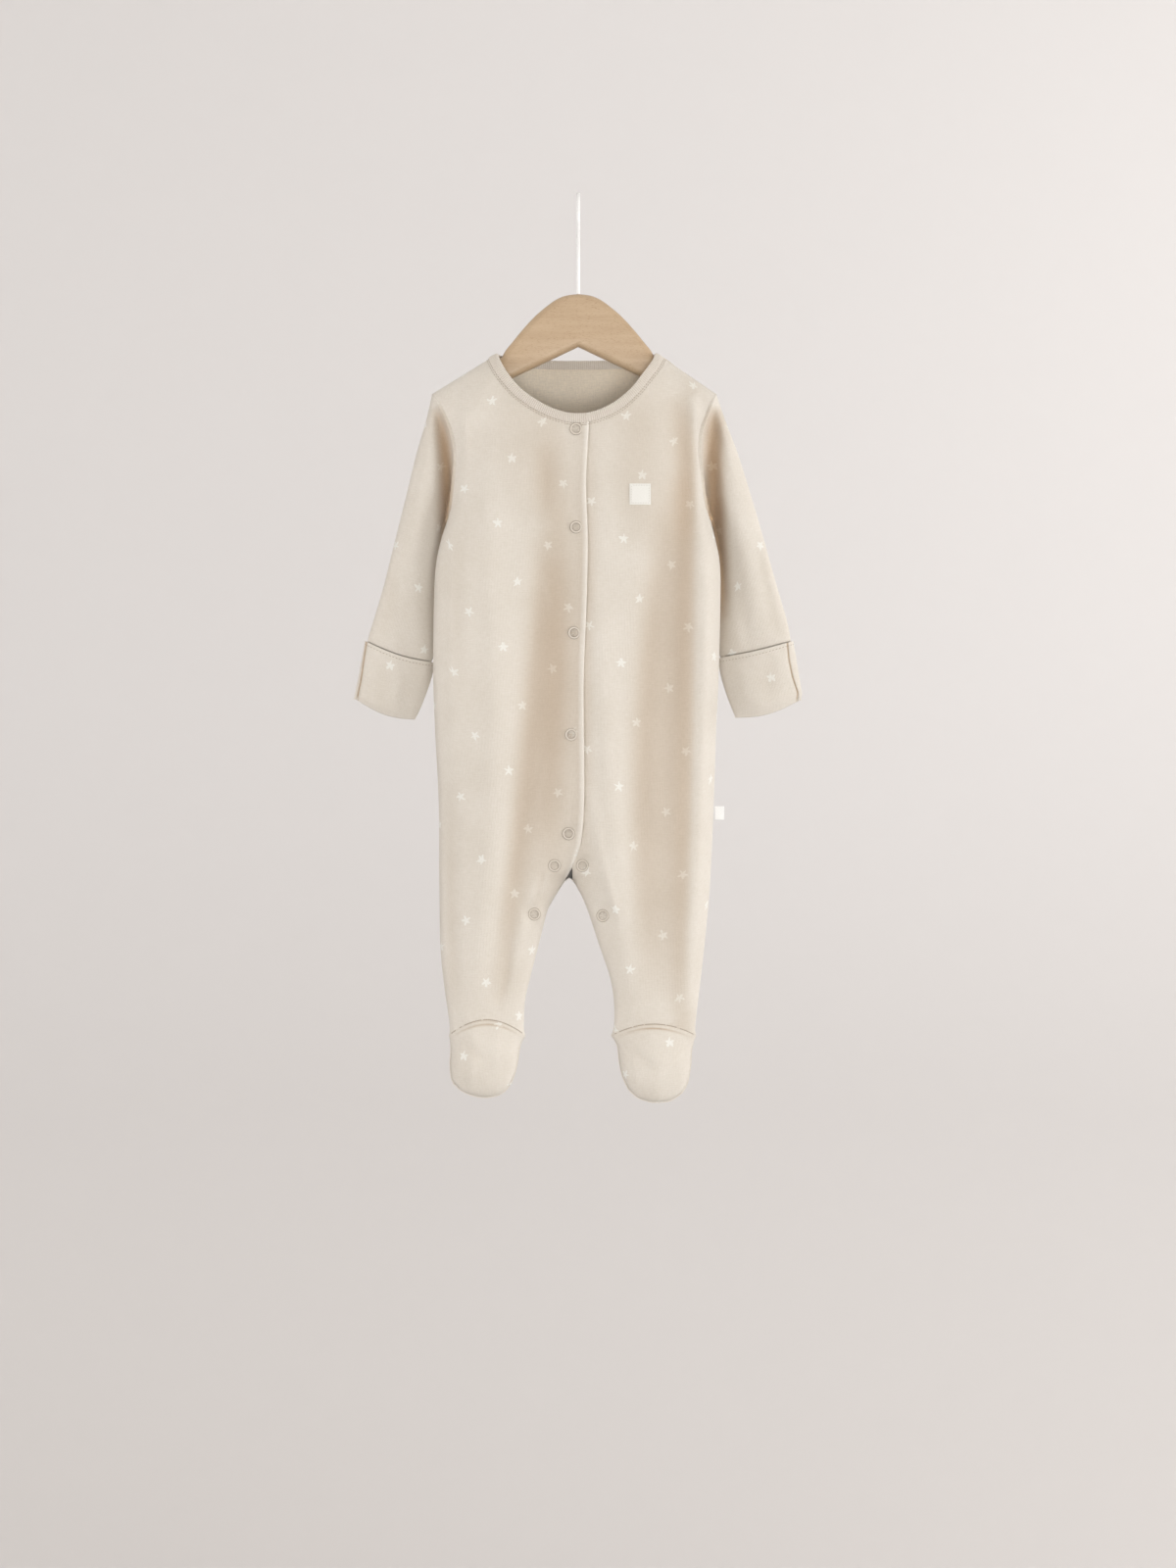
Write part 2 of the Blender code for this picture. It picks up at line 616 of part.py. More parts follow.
def panel_grid(side, surface, inner_at, arched):
    """Rows of points of one half of the front or back, shoulder to ankle."""
    grid = []
    toward = -1 if surface is not on_back else 1
    for outer_drop, kind, t in row_stations():
        outer = Vector((side_edge(side, outer_drop), outer_drop))
        inner = inner_at(kind, t)
        leg = smooth((outer_drop - HIP_DROP) / COLUMN_BLEND)
        below = smooth((outer_drop - THIGH_DROP) / (ANKLE_DROP - THIGH_DROP))
        fullness = min(max(body("armhole_fullness", outer_drop), 0.0) / 0.2, 1.0)
        shares = across_shares(leg)
        row_length = (inner - outer).length
        outer_step = max(EDGE_STEP * fullness, INSET) / row_length
        inner_step = (INSET if kind == "leg" else EDGE_STEP) / row_length
        shares = [0.0, outer_step] + shares[1:-1] + [1 - inner_step, 1.0]
        row = []
        for j, share in enumerate(shares):
            place = outer.lerp(inner, share)
            if arched:
                place.y -= arch_rise(side, share) * below**2
            point = surface(place.x, place.y)
            beside_side = j == 1 and fullness < 1
            beside_inseam = j == len(shares) - 2 and kind == "leg"
            if beside_side or beside_inseam:
                seam_y = surface(*(outer if beside_side else inner)).y
                point.y = seam_y + toward * max(toward * (point.y - seam_y), SEAM_FLAT)
            row.append(point)
        grid.append(row)
    flat = [point + Vector((0, toward * SEAM_FLAT, -INSET)) for point in grid[0]]
    grid.insert(1, flat)
    return grid


def front_inner(side):
    """Where a front's rows end: the neckline, the placket edge, then the inseam."""
    column = "over" if side == RIGHT else "under"
    edge = share_at_x(FRONT_NECK, read_column(PLACKET, column, "drop", PLACKET[0].drop))
    top = along(FRONT_NECK, at_length(FRONT_NECK, edge))["drop"]

    def inner_at(kind, t):
        if kind == "neck":
            share = lerp(0.0 if side == RIGHT else 1.0, edge, t)
            place = along(FRONT_NECK, at_length(FRONT_NECK, share))
            return Vector((place["x"], place["drop"]))
        if kind == "placket":
            drop = lerp(top, CROTCH_DROP, t)
            return Vector((read_column(PLACKET, column, "drop", drop), drop))
        drop = lerp(CROTCH_DROP, ANKLE_DROP, t)
        return Vector((inner_edge(side, drop), drop))
    return inner_at


def back_inner(side):
    """Where a half back's rows end: the neckline, the middle, then the inseam."""
    middle = share_at_x(BACK_NECK, 0.0)
    top = along(BACK_NECK, at_length(BACK_NECK, middle))["drop"]

    def inner_at(kind, t):
        if kind == "neck":
            share = lerp(0.0 if side == RIGHT else 1.0, middle, t)
            place = along(BACK_NECK, at_length(BACK_NECK, share))
            return Vector((place["x"], place["drop"]))
        drop = lerp(top, CROTCH_DROP, t)
        if kind == "placket":
            return Vector((centre_line(drop), drop))
        drop = lerp(CROTCH_DROP, ANKLE_DROP, t)
        x = centre_line(drop) if t == 0 else inner_edge(side, drop)
        return Vector((x, drop))
    return inner_at


def forward(_):
    return Vector((0, -1, 0))


def backward(_):
    return Vector((0, 1, 0))


def make_fronts_and_back():
    cloth_piece("front_right", [panel_grid(RIGHT, on_front, front_inner(RIGHT), True)], forward)
    cloth_piece("front_left", [panel_grid(LEFT, on_left_front, front_inner(LEFT), True)], forward)
    halves = [panel_grid(side, on_back, back_inner(side), False) for side in (RIGHT, LEFT)]
    cloth_piece("back_panel", halves, backward)


def binding_station(rows, surface, share):
    """Panel edge and free edge of the rib at a share of the neckline."""
    place = along(rows, at_length(rows, share))
    low = surface(place["x"], place["drop"])
    high = surface(place["rib_x"], place["rib_drop"])
    gap = (high - low).normalized() * SEAM_GAP
    return low + gap, high


def make_neck_binding():
    """A thick strip from the placket edge round the back to under the placket."""
    first = share_at_x(FRONT_NECK, PLACKET[0].over)
    last = share_at_x(FRONT_NECK, PLACKET[0].under)
    steps = [from_shoulder(i) for i in range(NECK_ROWS + 1)]
    middle = share_at_x(BACK_NECK, 0.0)
    shares = [(FRONT_NECK, on_front, first * t) for t in reversed(steps)]
    shares += [(BACK_NECK, on_back, middle * t) for t in steps[1:]]
    shares += [(BACK_NECK, on_back, 1 - (1 - middle) * t) for t in reversed(steps[:-1])]
    shares += [(FRONT_NECK, on_front, 1 - (1 - last) * t) for t in steps[1:]]
    pairs = [binding_station(*share) for share in shares]
    build = bmesh.new()
    loops = []
    for i, (low, high) in enumerate(pairs):
        before, after = pairs[max(i - 1, 0)], pairs[min(i + 1, len(pairs) - 1)]
        ahead = (after[0] + after[1] - before[0] - before[1]).normalized()
        normal = (high - low).cross(ahead).normalized()
        rows, _, share = shares[i]
        sunk = 0.0
        if rows is FRONT_NECK and i > len(shares) / 2:
            sunk = (RIB_THICKNESS + 0.5) * under_lap(low.x - 2.0, PLACKET[0].drop)
        outer = RIB_PROUD - sunk
        inner = outer - RIB_THICKNESS
        corners = [low + normal * outer, high + normal * outer,
                   high + normal * inner, low + normal * inner]
        loops.append([build.verts.new(corner * MM) for corner in corners])
    for a, b in zip(loops, loops[1:]):
        for k in range(4):
            build.faces.new((a[k], a[(k + 1) % 4], b[(k + 1) % 4], b[k]))
    build.faces.new(loops[0])
    build.faces.new(reversed(loops[-1]))
    bmesh.ops.recalc_face_normals(build, faces=build.faces)
    mesh = bpy.data.meshes.new("neck_binding")
    build.to_mesh(mesh)
    build.free()
    mesh.shade_smooth()
    binding = bpy.data.objects.new("neck_binding", mesh)
    parts.objects.link(binding)
    give_finish(binding, JERSEY_COLOR, CLOTH_ROUGHNESS)


RING_HALF = NECK_ROWS + ARM_ROWS


def ring_points(side, ring, blend):
    """One ring of a sleeve or mitt: along the front from crease to crease, and back.

    blend is 1 for a plain flat tube and 0 for the shape of the armhole."""
    outer = Vector((side * ring["out"], ring["drop"]))
    inner = Vector((side * ring["in_out"], ring["in_drop"]))
    tip = Vector((side_edge(side, SHOULDER_DROP), SHOULDER_DROP))
    pit = Vector((side_edge(side, UNDERARM_DROP), UNDERARM_DROP))
    halves = []
    for toward in (-1, 1):
        half = []
        for j in range(RING_HALF + 1):
            armhole_drop = row_stations()[j][0]
            armhole_t = (armhole_drop - SHOULDER_DROP) / (UNDERARM_DROP - SHOULDER_DROP)
            t = lerp(armhole_t, (1 - math.cos(math.pi * j / RING_HALF)) / 2, blend)
            place = outer.lerp(inner, t)
            place.y += ring["bow"] * math.sin(math.pi * t)
            depth = ring["depth"] * rise(1 - abs(1 - 2 * t))
            if blend < 1:
                hole = Vector((side_edge(side, armhole_drop), armhole_drop))
                place += (hole - tip.lerp(pit, armhole_t)) * (1 - blend)
                full = half_depth(hole.x, armhole_drop, ())
                depth = lerp(full * (1 if toward < 0 else BACK_FLATNESS), depth, blend)
            back = lerp(ring["out_back"], ring["in_back"], t)
            half.append(Vector((place.x, back + toward * depth, -place.y)))
        halves.append(half)
    return halves


def tube_rings(side, rows, count, blended):
    rings = []
    for i in range(count + 1):
        t = i / count
        blend = smooth(t / 0.55) if blended else 1.0
        front, back = ring_points(side, along(rows, t), blend)
        rings.append(front + back[-2:0:-1] + front[:1])
    if blended:
        beside_seam = Vector((side * SLEEVE_FLAT, 0, 0))
        rings.insert(1, [point + beside_seam for point in rings[0]])
    return rings


def away_from(rings):
    """Guide that points away from the middle of the nearest ring."""
    middles = [sum(ring[:-1], Vector()) / (len(ring) - 1) for ring in rings]

    def guide(point):
        nearest = min(middles, key=lambda middle: (point - middle).length)
        return point - nearest
    return guide


def make_sleeves_and_mitts():
    for side, word in ((RIGHT, "right"), (LEFT, "left")):
        rings = tube_rings(side, SLEEVE[side], 13, True)
        cloth_piece("sleeve_" + word, [rings], away_from(rings))
        rings = tube_rings(side, MITT[side], 6, False)
        front, back = ring_points(side, along(MITT[side], 1.0), 1.0)
        cloth_piece("mitt_" + word, [rings, [front, back]], away_from(rings))


def foot_grid(side, sole):
    """A patch between the ankle seam, both sides and the toe of a foot."""
    across, down = 9, 7
    surface = on_back if sole else on_front
    toward = 1 if sole else -1
    sides, toe = FOOT_SIDES[side], FOOT_TOE[side]
    outer = Vector((sides[0].outer_x, sides[0].outer_drop))
    inner = Vector((sides[0].inner_x, sides[0].inner_drop))
    near_side, near_toe = INSET / FOOT_WIDTH, INSET / FOOT_LENGTH
    u_shares = [0.0, near_side]
    u_shares += [(1 - math.cos(math.pi * j / across)) / 2 for j in range(1, across)]
    u_shares += [1 - near_side, 1.0]
    v_shares = [math.sin(math.pi / 2 * i / down) for i in range(down)] + [1 - near_toe, 1.0]

    def top(u):
        place = outer.lerp(inner, u)
        if not sole:
            place.y -= arch_rise(side, u)
        return place

    def bottom(u):
        place = along(toe, u)
        return Vector((place["x"], place["drop"]))

    corners = bottom(0.0), bottom(1.0)
    grid = []
    for i, v in enumerate(v_shares):
        edge = along(sides, v)
        left = Vector((edge["outer_x"], edge["outer_drop"]))
        right = Vector((edge["inner_x"], edge["inner_drop"]))
        row = []
        for j, u in enumerate(u_shares):
            place = (top(u).lerp(bottom(u), v) + left.lerp(right, u)
                     - outer.lerp(corners[0], v).lerp(inner.lerp(corners[1], v), u))
            at_top = top(u)
            depth = abs(surface(at_top.x, min(at_top.y, ANKLE_DROP)).y)
            full = (1 - v**TOE_ROUND) ** (1 / TOE_ROUND) * (1 + FOOT_PUFF * math.sin(math.pi * v))
            depth *= full * (SOLE_FLATNESS if sole and v > 0 else 1.0)
            on_edge = j in (0, len(u_shares) - 1) or i == len(v_shares) - 1
            depth = SEAM_GAP / 2 if on_edge else max(depth, SEAM_GAP / 2 + SEAM_FLAT)
            lean = -TOE_FORWARD * v**2
            row.append(Vector((place.x, lean + toward * depth, -place.y - SEAM_GAP)))
        grid.append(row)
    return grid


def make_feet():
    for side, word in ((RIGHT, "right"), (LEFT, "left")):
        cloth_piece("foot_upper_" + word, [foot_grid(side, False)], forward)
        cloth_piece("sole_" + word, [foot_grid(side, True)], backward)


def cloth_finder(name):
    """Returns a function that finds the outside of a front at a place seen from ahead."""
    mesh = parts.objects[name].data
    tree = BVHTree.FromPolygons([v.co for v in mesh.vertices], [p.vertices for p in mesh.polygons])

    def find(x, drop):
        start = Vector((x, -100.0, -drop)) * MM
        hit, normal, _, _ = tree.ray_cast(start, Vector((0, 1, 0)))
        return hit / MM, normal
    return find


def make_snap(number, panel, x, drop):
    """A low ring with a rounded crown, its underside following the cloth."""
    find = cloth_finder(panel)
    _, normal = find(x, drop)
    steps = 14
    section = [(SNAP_RADIUS, SNAP_SEAT), (SNAP_RADIUS - 0.25, SNAP_SEAT + 0.75 * SNAP_HEIGHT),
               ((SNAP_RADIUS + SNAP_HOLE) / 2, SNAP_SEAT + SNAP_HEIGHT),
               (SNAP_HOLE + 0.2, SNAP_SEAT + 0.7 * SNAP_HEIGHT), (SNAP_HOLE, SNAP_SEAT)]
    build = bmesh.new()
    loops = []
    for i in range(steps):
        angle = 2 * math.pi * i / steps
        loop = []
        for radius, height in section:
            base, _ = find(x + radius * math.cos(angle), drop + radius * math.sin(angle))
            loop.append(build.verts.new((base + normal * height) * MM))
        loops.append(loop)
    for i in range(steps):
        a, b = loops[i], loops[(i + 1) % steps]
        for k in range(len(section)):
            m = (k + 1) % len(section)
            build.faces.new((a[k], a[m], b[m], b[k]))
    bmesh.ops.recalc_face_normals(build, faces=build.faces)
    mesh = bpy.data.meshes.new("snap")
    build.to_mesh(mesh)
    build.free()
    mesh.shade_smooth()
    snap = bpy.data.objects.new("snap_%d" % number, mesh)
    parts.objects.link(snap)
    give_finish(snap, SNAP_COLOR, ENAMEL_ROUGHNESS)


def make_chest_patch():
    """A small square that follows the left front."""
    find = cloth_finder("front_left")
    steps = 4
    grid = []
    for i in range(steps + 1):
        row = []
        for j in range(steps + 1):
            x = PATCH_CENTRE[0] + PATCH_SIZE * (j / steps - 0.5)
            drop = PATCH_CENTRE[1] + PATCH_SIZE * (i / steps - 0.5)
            base, normal = find(x, drop)
            row.append(base + normal * (PATCH_SEAT + PATCH_THICKNESS))
        grid.append(row)
    cloth_piece("chest_patch", [grid], forward, PATCH_THICKNESS, PATCH_COLOR)


def make_side_label():
    """A folded ribbon that stands out of the left side seam."""
    middle_drop = sum(LABEL_DROP) / 2
    seam_y = seam_plane(side_edge(LEFT, middle_drop), middle_drop)
    size = Vector((LABEL_OUT[1] - LABEL_OUT[0], LABEL_THICKNESS, LABEL_DROP[1] - LABEL_DROP[0]))
    centre = Vector((sum(LABEL_OUT) / 2, seam_y, -middle_drop))
    build = bmesh.new()
    bmesh.ops.create_cube(build, size=1.0)
    for vertex in build.verts:
        vertex.co = Vector([centre[k] + vertex.co[k] * size[k] for k in range(3)]) * MM
    mesh = bpy.data.meshes.new("side_label")
    build.to_mesh(mesh)
    build.free()
    label = bpy.data.objects.new("side_label", mesh)
    parts.objects.link(label)
    bevel = label.modifiers.new("fold", "BEVEL")
    bevel.width = 0.3 * MM
    bevel.segments = 2
    give_finish(label, LABEL_COLOR, RIBBON_ROUGHNESS)


def board_outline():
    """The hanger's outline, clockwise from the middle of the crown to the right arm."""
    halves = []
    for side in (RIGHT, LEFT):
        tip, neck = shoulder_tip(side), neck_point(side)
        slope = (neck.y - tip.y) / abs(neck.x - tip.x)
        square = math.hypot(1.0, slope)

        def arm_top(out):
            return -(neck.y - slope * (out - abs(neck.x))) + BOARD_SEAT * square

        half = list(zip(CROWN_OUT, CROWN_DROP))
        for out in ARM_OUT:
            half.append((out, arm_top(out)))
        radius = ARM_HEIGHT / 2
        middle = (ARM_OUT[-1] - radius * slope / square,
                  arm_top(ARM_OUT[-1]) + radius / square)
        for k in range(1, 7):
            angle = math.atan2(1.0, slope) - math.pi * k / 7
            half.append((middle[0] + radius * math.cos(angle),
                         middle[1] - radius * math.sin(angle)))
        end = (middle[0] - radius * slope / square, middle[1] + radius / square)
        half.append(end)
        for t in (0.33, 0.66, 1.0):
            half.append((lerp(end[0], NOTCH_OUT, t), lerp(end[1], NOTCH_FOOT_DROP, t)))
        half.append((NOTCH_OUT / 2, (NOTCH_DROP + NOTCH_FOOT_DROP) / 2))
        halves.append([(side * out, -drop) for out, drop in half])
    right, left = halves
    return left + [(0.0, -NOTCH_DROP)] + right[:0:-1]


def make_hanger_board():
    """A flat board cut to the outline, its edges rounded, bored for the hook."""
    curve = bpy.data.curves.new("board", "CURVE")
    curve.dimensions = "2D"
    curve.fill_mode = "BOTH"
    curve.extrude = (BOARD_THICKNESS / 2 - BOARD_ROUND) * MM
    curve.bevel_depth = BOARD_ROUND * MM
    curve.bevel_resolution = 2
    curve.offset = -BOARD_ROUND * MM
    outline = board_outline()
    spline = curve.splines.new("POLY")
    spline.points.add(len(outline) - 1)
    for point, (x, z) in zip(spline.points, outline):
        point.co = (x * MM, z * MM, 0.0, 1.0)
    spline.use_cyclic_u = True
    flat = bpy.data.objects.new("board", curve)
    parts.objects.link(flat)
    flat.rotation_euler = (math.pi / 2, 0.0, 0.0)
    bpy.context.view_layer.update()
    rounded = flat.evaluated_get(bpy.context.evaluated_depsgraph_get())
    mesh = bpy.data.meshes.new_from_object(rounded)
    mesh.transform(flat.matrix_world)
    bpy.data.objects.remove(flat)
    build = bmesh.new()
    build.from_mesh(mesh)
    bmesh.ops.remove_doubles(build, verts=build.verts, dist=1e-6)
    build.to_mesh(mesh)
    build.free()
    mesh.shade_smooth()
    board = bpy.data.objects.new("hanger_body", mesh)
    parts.objects.link(board)
    bpy.ops.mesh.primitive_cylinder_add(
        vertices=20, radius=BORE_RADIUS * MM, depth=2 * BORE_DEPTH * MM,
        location=(0.0, 0.0, -CROWN_DROP[0] * MM))
    cutter = bpy.context.active_object
    cutter.name = "bore_cutter"
    for collection in list(cutter.users_collection):
        collection.objects.unlink(cutter)
    cutters.objects.link(cutter)
    cutter.hide_render = True
    cutter.display_type = "WIRE"
    cut = board.modifiers.new("bore", "BOOLEAN")
    cut.operation = "DIFFERENCE"
    cut.object = cutter
    give_finish(board, BEECH_COLOR, LACQUER_ROUGHNESS)


def hook_route():
    """Up the shank, forward round the rail and down behind it, as (y, z) points."""
    foot = CROWN_DROP[0] + BORE_DEPTH - 1.0
    centre = (0.0, WIRE_RADIUS - HOOK_RADIUS)
    route = [(0.0, -foot), (0.0, -CROWN_DROP[0]), (0.0, -HOOK_SHANK_DROP)]
    join = math.radians(HOOK_JOIN_ANGLE)
    steps = 18
    last = math.radians(-HOOK_TIP_ANGLE)
    turns = [lerp(join, last, i / steps) for i in range(steps + 1)]
    arc = [(centre[0] + HOOK_RADIUS * math.cos(turn),
            centre[1] + HOOK_RADIUS * math.sin(turn)) for turn in turns]
    start, end = route[-1], arc[0]
    ahead = (math.sin(join), -math.cos(join))
    for k in range(1, 6):
        t = k / 6
        a = (start[0], start[1] + HOOK_SWING * t)
        short = HOOK_SWING * (1 - t)
        b = (end[0] - ahead[0] * short, end[1] - ahead[1] * short)
        s = smooth(t)
        route.append((lerp(a[0], b[0], s), lerp(a[1], b[1], s)))
    return route + arc


def make_hook():
    curve = bpy.data.curves.new("hanger_hook", "CURVE")
    curve.dimensions = "3D"
    curve.bevel_depth = WIRE_RADIUS * MM
    curve.bevel_resolution = 2
    curve.use_fill_caps = True
    route = hook_route()
    spline = curve.splines.new("POLY")
    spline.points.add(len(route) - 1)
    for point, (y, z) in zip(spline.points, route):
        point.co = (0.0, y * MM, z * MM, 1.0)
    hook = bpy.data.objects.new("hanger_hook", curve)
    parts.objects.link(hook)
    give_finish(hook, WIRE_COLOR, ENAMEL_ROUGHNESS)


for old in list(bpy.data.objects):
    bpy.data.objects.remove(old)
parts = bare_collection("footed_baby_sleepsuit")
cutters = bare_collection("cutters")
make_fronts_and_back()
make_neck_binding()
make_sleeves_and_mitts()
make_feet()
for number, (panel, x, drop) in enumerate(SNAPS, start=1):
    make_snap(number, panel, x, drop)
make_chest_patch()
make_side_label()
make_hanger_board()
make_hook()
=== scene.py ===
"""A footed baby sleepsuit, snapped shut, on a child's wooden hanger.

The file follows the suit as it is sewn: back, fronts, neck binding, sleeves, mitts,
feet, then stitching, snaps, patch, label and the hanger. "Right" and "left" are the
wearer's: right is -X and the front is -Y. Tables are in millimetres: "drop" is the distance
below the seat of the hook, where the origin lies.
"""
import math
from collections import namedtuple

import bmesh
import bpy
import numpy as np
from mathutils import Matrix, Vector, noise
from mathutils.bvhtree import BVHTree


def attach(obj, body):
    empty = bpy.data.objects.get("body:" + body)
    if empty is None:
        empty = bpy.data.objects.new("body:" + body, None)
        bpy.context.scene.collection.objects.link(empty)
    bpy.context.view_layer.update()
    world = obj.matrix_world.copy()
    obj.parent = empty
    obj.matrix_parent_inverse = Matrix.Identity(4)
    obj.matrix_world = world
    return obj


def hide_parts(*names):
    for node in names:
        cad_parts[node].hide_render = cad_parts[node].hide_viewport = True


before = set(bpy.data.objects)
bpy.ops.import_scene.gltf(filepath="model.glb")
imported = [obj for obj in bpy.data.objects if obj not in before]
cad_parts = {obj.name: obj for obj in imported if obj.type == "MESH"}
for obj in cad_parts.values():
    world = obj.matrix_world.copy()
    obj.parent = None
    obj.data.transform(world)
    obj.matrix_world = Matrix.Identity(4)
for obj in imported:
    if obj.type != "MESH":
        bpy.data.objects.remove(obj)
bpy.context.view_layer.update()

# ---------------------------------------------------------------------------
# Printed interlock jersey. Cotton interlock knit, oatmeal, with small off-white
# stars printed on its face. The back of the cloth is bare and a little yellower, and is
# painted paler and warmer still to lift the shade inside the suit: partly painted light.
# ---------------------------------------------------------------------------
MM = 0.001
JERSEY_COLOR = (0.735, 0.688, 0.622)
JERSEY_SHADE = (0.590, 0.530, 0.445)
# bare back of the cloth; also painted pale and warm as painted light against the shade inside
INSIDE_COLOR = (0.980, 0.870, 0.700)
STAR_COLOR = (0.805, 0.795, 0.745)
CREASE_PAINTED_SHADE = (0.800, 0.750, 0.690)   # painted shade: cloth painted darker at the bottom of a hollow,
HOLLOW_PAINTED_SHADE = (0.800, 0.660, 0.530)   # and painted warmer where the hollow is deep
EDGE_PAINTED_HIGHLIGHT = (0.900, 0.860, 0.800)     # painted highlight: a folded edge is painted paler
WALE_PITCH = 1.1             # width of a column of loops
COURSE_PITCH = 0.9           # height of a loop
STAR_RADIUS = 4.0
STAR_WAIST = 1.5
STRAY = 1.6                  # how far a star's outline strays, as printed
REPEAT_WIDTH = 75.0
REPEAT_LENGTH = 92.2
Star = namedtuple("Star", "across down turn")
PRINT_REPEAT = [
    Star(0.0, 0.0, 0.3),
    Star(37.5, 20.9, 1.0),
    Star(-12.9, 48.1, 1.5),
    Star(23.9, 66.1, 0.7),
]


def new_group(name, inputs, outputs):
    """A shader node group with float or vector sockets."""
    group = bpy.data.node_groups.new(name, "ShaderNodeTree")
    for socket, kind in inputs:
        group.interface.new_socket(socket, in_out="INPUT", socket_type="NodeSocket" + kind)
    for socket, kind in outputs:
        group.interface.new_socket(socket, in_out="OUTPUT", socket_type="NodeSocket" + kind)
    return group, group.nodes.new("NodeGroupInput").outputs, group.nodes.new("NodeGroupOutput").inputs


def feed(tree, socket, value):
    """Gives a socket a number, a colour or what another socket has."""
    if isinstance(value, bpy.types.NodeSocket):
        tree.links.new(value, socket)
    else:
        socket.default_value = (*value, 1.0) if isinstance(value, tuple) else value


def group_node(tree, group, values):
    node = tree.nodes.new("ShaderNodeGroup")
    node.node_tree = group
    for name, value in values.items():
        feed(tree, node.inputs[name], value)
    return node.outputs


def math_node(tree, operation, *values, clamp=False):
    node = tree.nodes.new("ShaderNodeMath")
    node.operation = operation
    node.use_clamp = clamp
    for socket, value in zip(node.inputs, values):
        feed(tree, socket, value)
    return node.outputs[0]


def noise_node(tree, vector, scale, detail=2.0, roughness=0.5):
    node = tree.nodes.new("ShaderNodeTexNoise")
    node.inputs["Scale"].default_value = scale
    node.inputs["Detail"].default_value = detail
    node.inputs["Roughness"].default_value = roughness
    tree.links.new(vector, node.inputs["Vector"])
    return node.outputs["Fac"]


def stretched(tree, vector, scale):
    """The vector times a scale for each axis."""
    node = tree.nodes.new("ShaderNodeMapping")
    node.inputs["Scale"].default_value = scale
    tree.links.new(vector, node.inputs["Vector"])
    return node.outputs["Vector"]


def remap(tree, value, low, high, to_low=0.0, to_high=1.0, smooth_ends=False):
    node = tree.nodes.new("ShaderNodeMapRange")
    node.interpolation_type = "SMOOTHSTEP" if smooth_ends else "LINEAR"
    tree.links.new(value, node.inputs["Value"])
    for name, number in (("From Min", low), ("From Max", high), ("To Min", to_low), ("To Max", to_high)):
        node.inputs[name].default_value = number
    return node.outputs["Result"]


def split_xyz(tree, vector):
    node = tree.nodes.new("ShaderNodeSeparateXYZ")
    tree.links.new(vector, node.inputs[0])
    return node.outputs


def mixed(tree, factor, a, b, blend="MIX"):
    """Mixes two colours."""
    node = tree.nodes.new("ShaderNodeMix")
    node.data_type = "RGBA"
    node.blend_type = blend
    for socket, value in ((node.inputs["Factor"], factor), (node.inputs[6], a), (node.inputs[7], b)):
        feed(tree, socket, value)
    return node.outputs[2]


def make_star_group():
    """One printed star, repeated over the cloth: 1 inside it and 0 outside."""
    tree, given, result = new_group("printed star", [("Across", "Float"), ("Down", "Float"),
                                                    ("Star Across", "Float"), ("Star Down", "Float"),
                                                    ("Turn", "Float")], [("Mask", "Float")])
    across = math_node(tree, "SUBTRACT", given["Across"], given["Star Across"])
    across = math_node(tree, "WRAP", across, REPEAT_WIDTH / 2, -REPEAT_WIDTH / 2)
    down = math_node(tree, "SUBTRACT", given["Down"], given["Star Down"])
    down = math_node(tree, "WRAP", down, REPEAT_LENGTH / 2, -REPEAT_LENGTH / 2)
    squares = [math_node(tree, "MULTIPLY", part, part) for part in (across, down)]
    radius = math_node(tree, "SQRT", math_node(tree, "ADD", *squares))
    angle = math_node(tree, "ADD", math_node(tree, "ARCTAN2", down, across), given["Turn"])
    points = math_node(tree, "MULTIPLY", angle, 5 / (2 * math.pi))
    notch = math_node(tree, "MULTIPLY", math_node(tree, "PINGPONG", points, 0.5), 2.0)
    tip = math_node(tree, "POWER", math_node(tree, "SUBTRACT", 1.0, notch), 1.3)
    edge = math_node(tree, "MULTIPLY_ADD", tip, STAR_RADIUS - STAR_WAIST, STAR_WAIST)
    outside = math_node(tree, "SUBTRACT", radius, edge)
    tree.links.new(remap(tree, outside, -0.45, 0.45, 1.0, 0.0, True), result["Mask"])
    return tree


def make_print_group():
    """The charted repeat of four stars, its edges a little uneven, as printed."""
    tree, given, result = new_group("star print", [("Vector", "Vector")], [("Mask", "Float")])
    star_group = make_star_group()
    wobble = tree.nodes.new("ShaderNodeTexNoise")
    wobble.inputs["Scale"].default_value = 0.33
    tree.links.new(given["Vector"], wobble.inputs["Vector"])
    place = split_xyz(tree, given["Vector"])
    stray = tree.nodes.new("ShaderNodeSeparateColor")
    tree.links.new(wobble.outputs["Color"], stray.inputs[0])
    across, down = [math_node(tree, "ADD", place[axis],
                              remap(tree, stray.outputs[k], 0.0, 1.0, -STRAY, STRAY))
                    for k, axis in enumerate("XY")]
    mask = None
    for star in PRINT_REPEAT:
        one = group_node(tree, star_group, {"Across": across, "Down": down, "Star Across": star.across,
                                            "Star Down": star.down, "Turn": star.turn})["Mask"]
        mask = one if mask is None else math_node(tree, "MAXIMUM", mask, one)
    tree.links.new(mask, result["Mask"])
    return tree


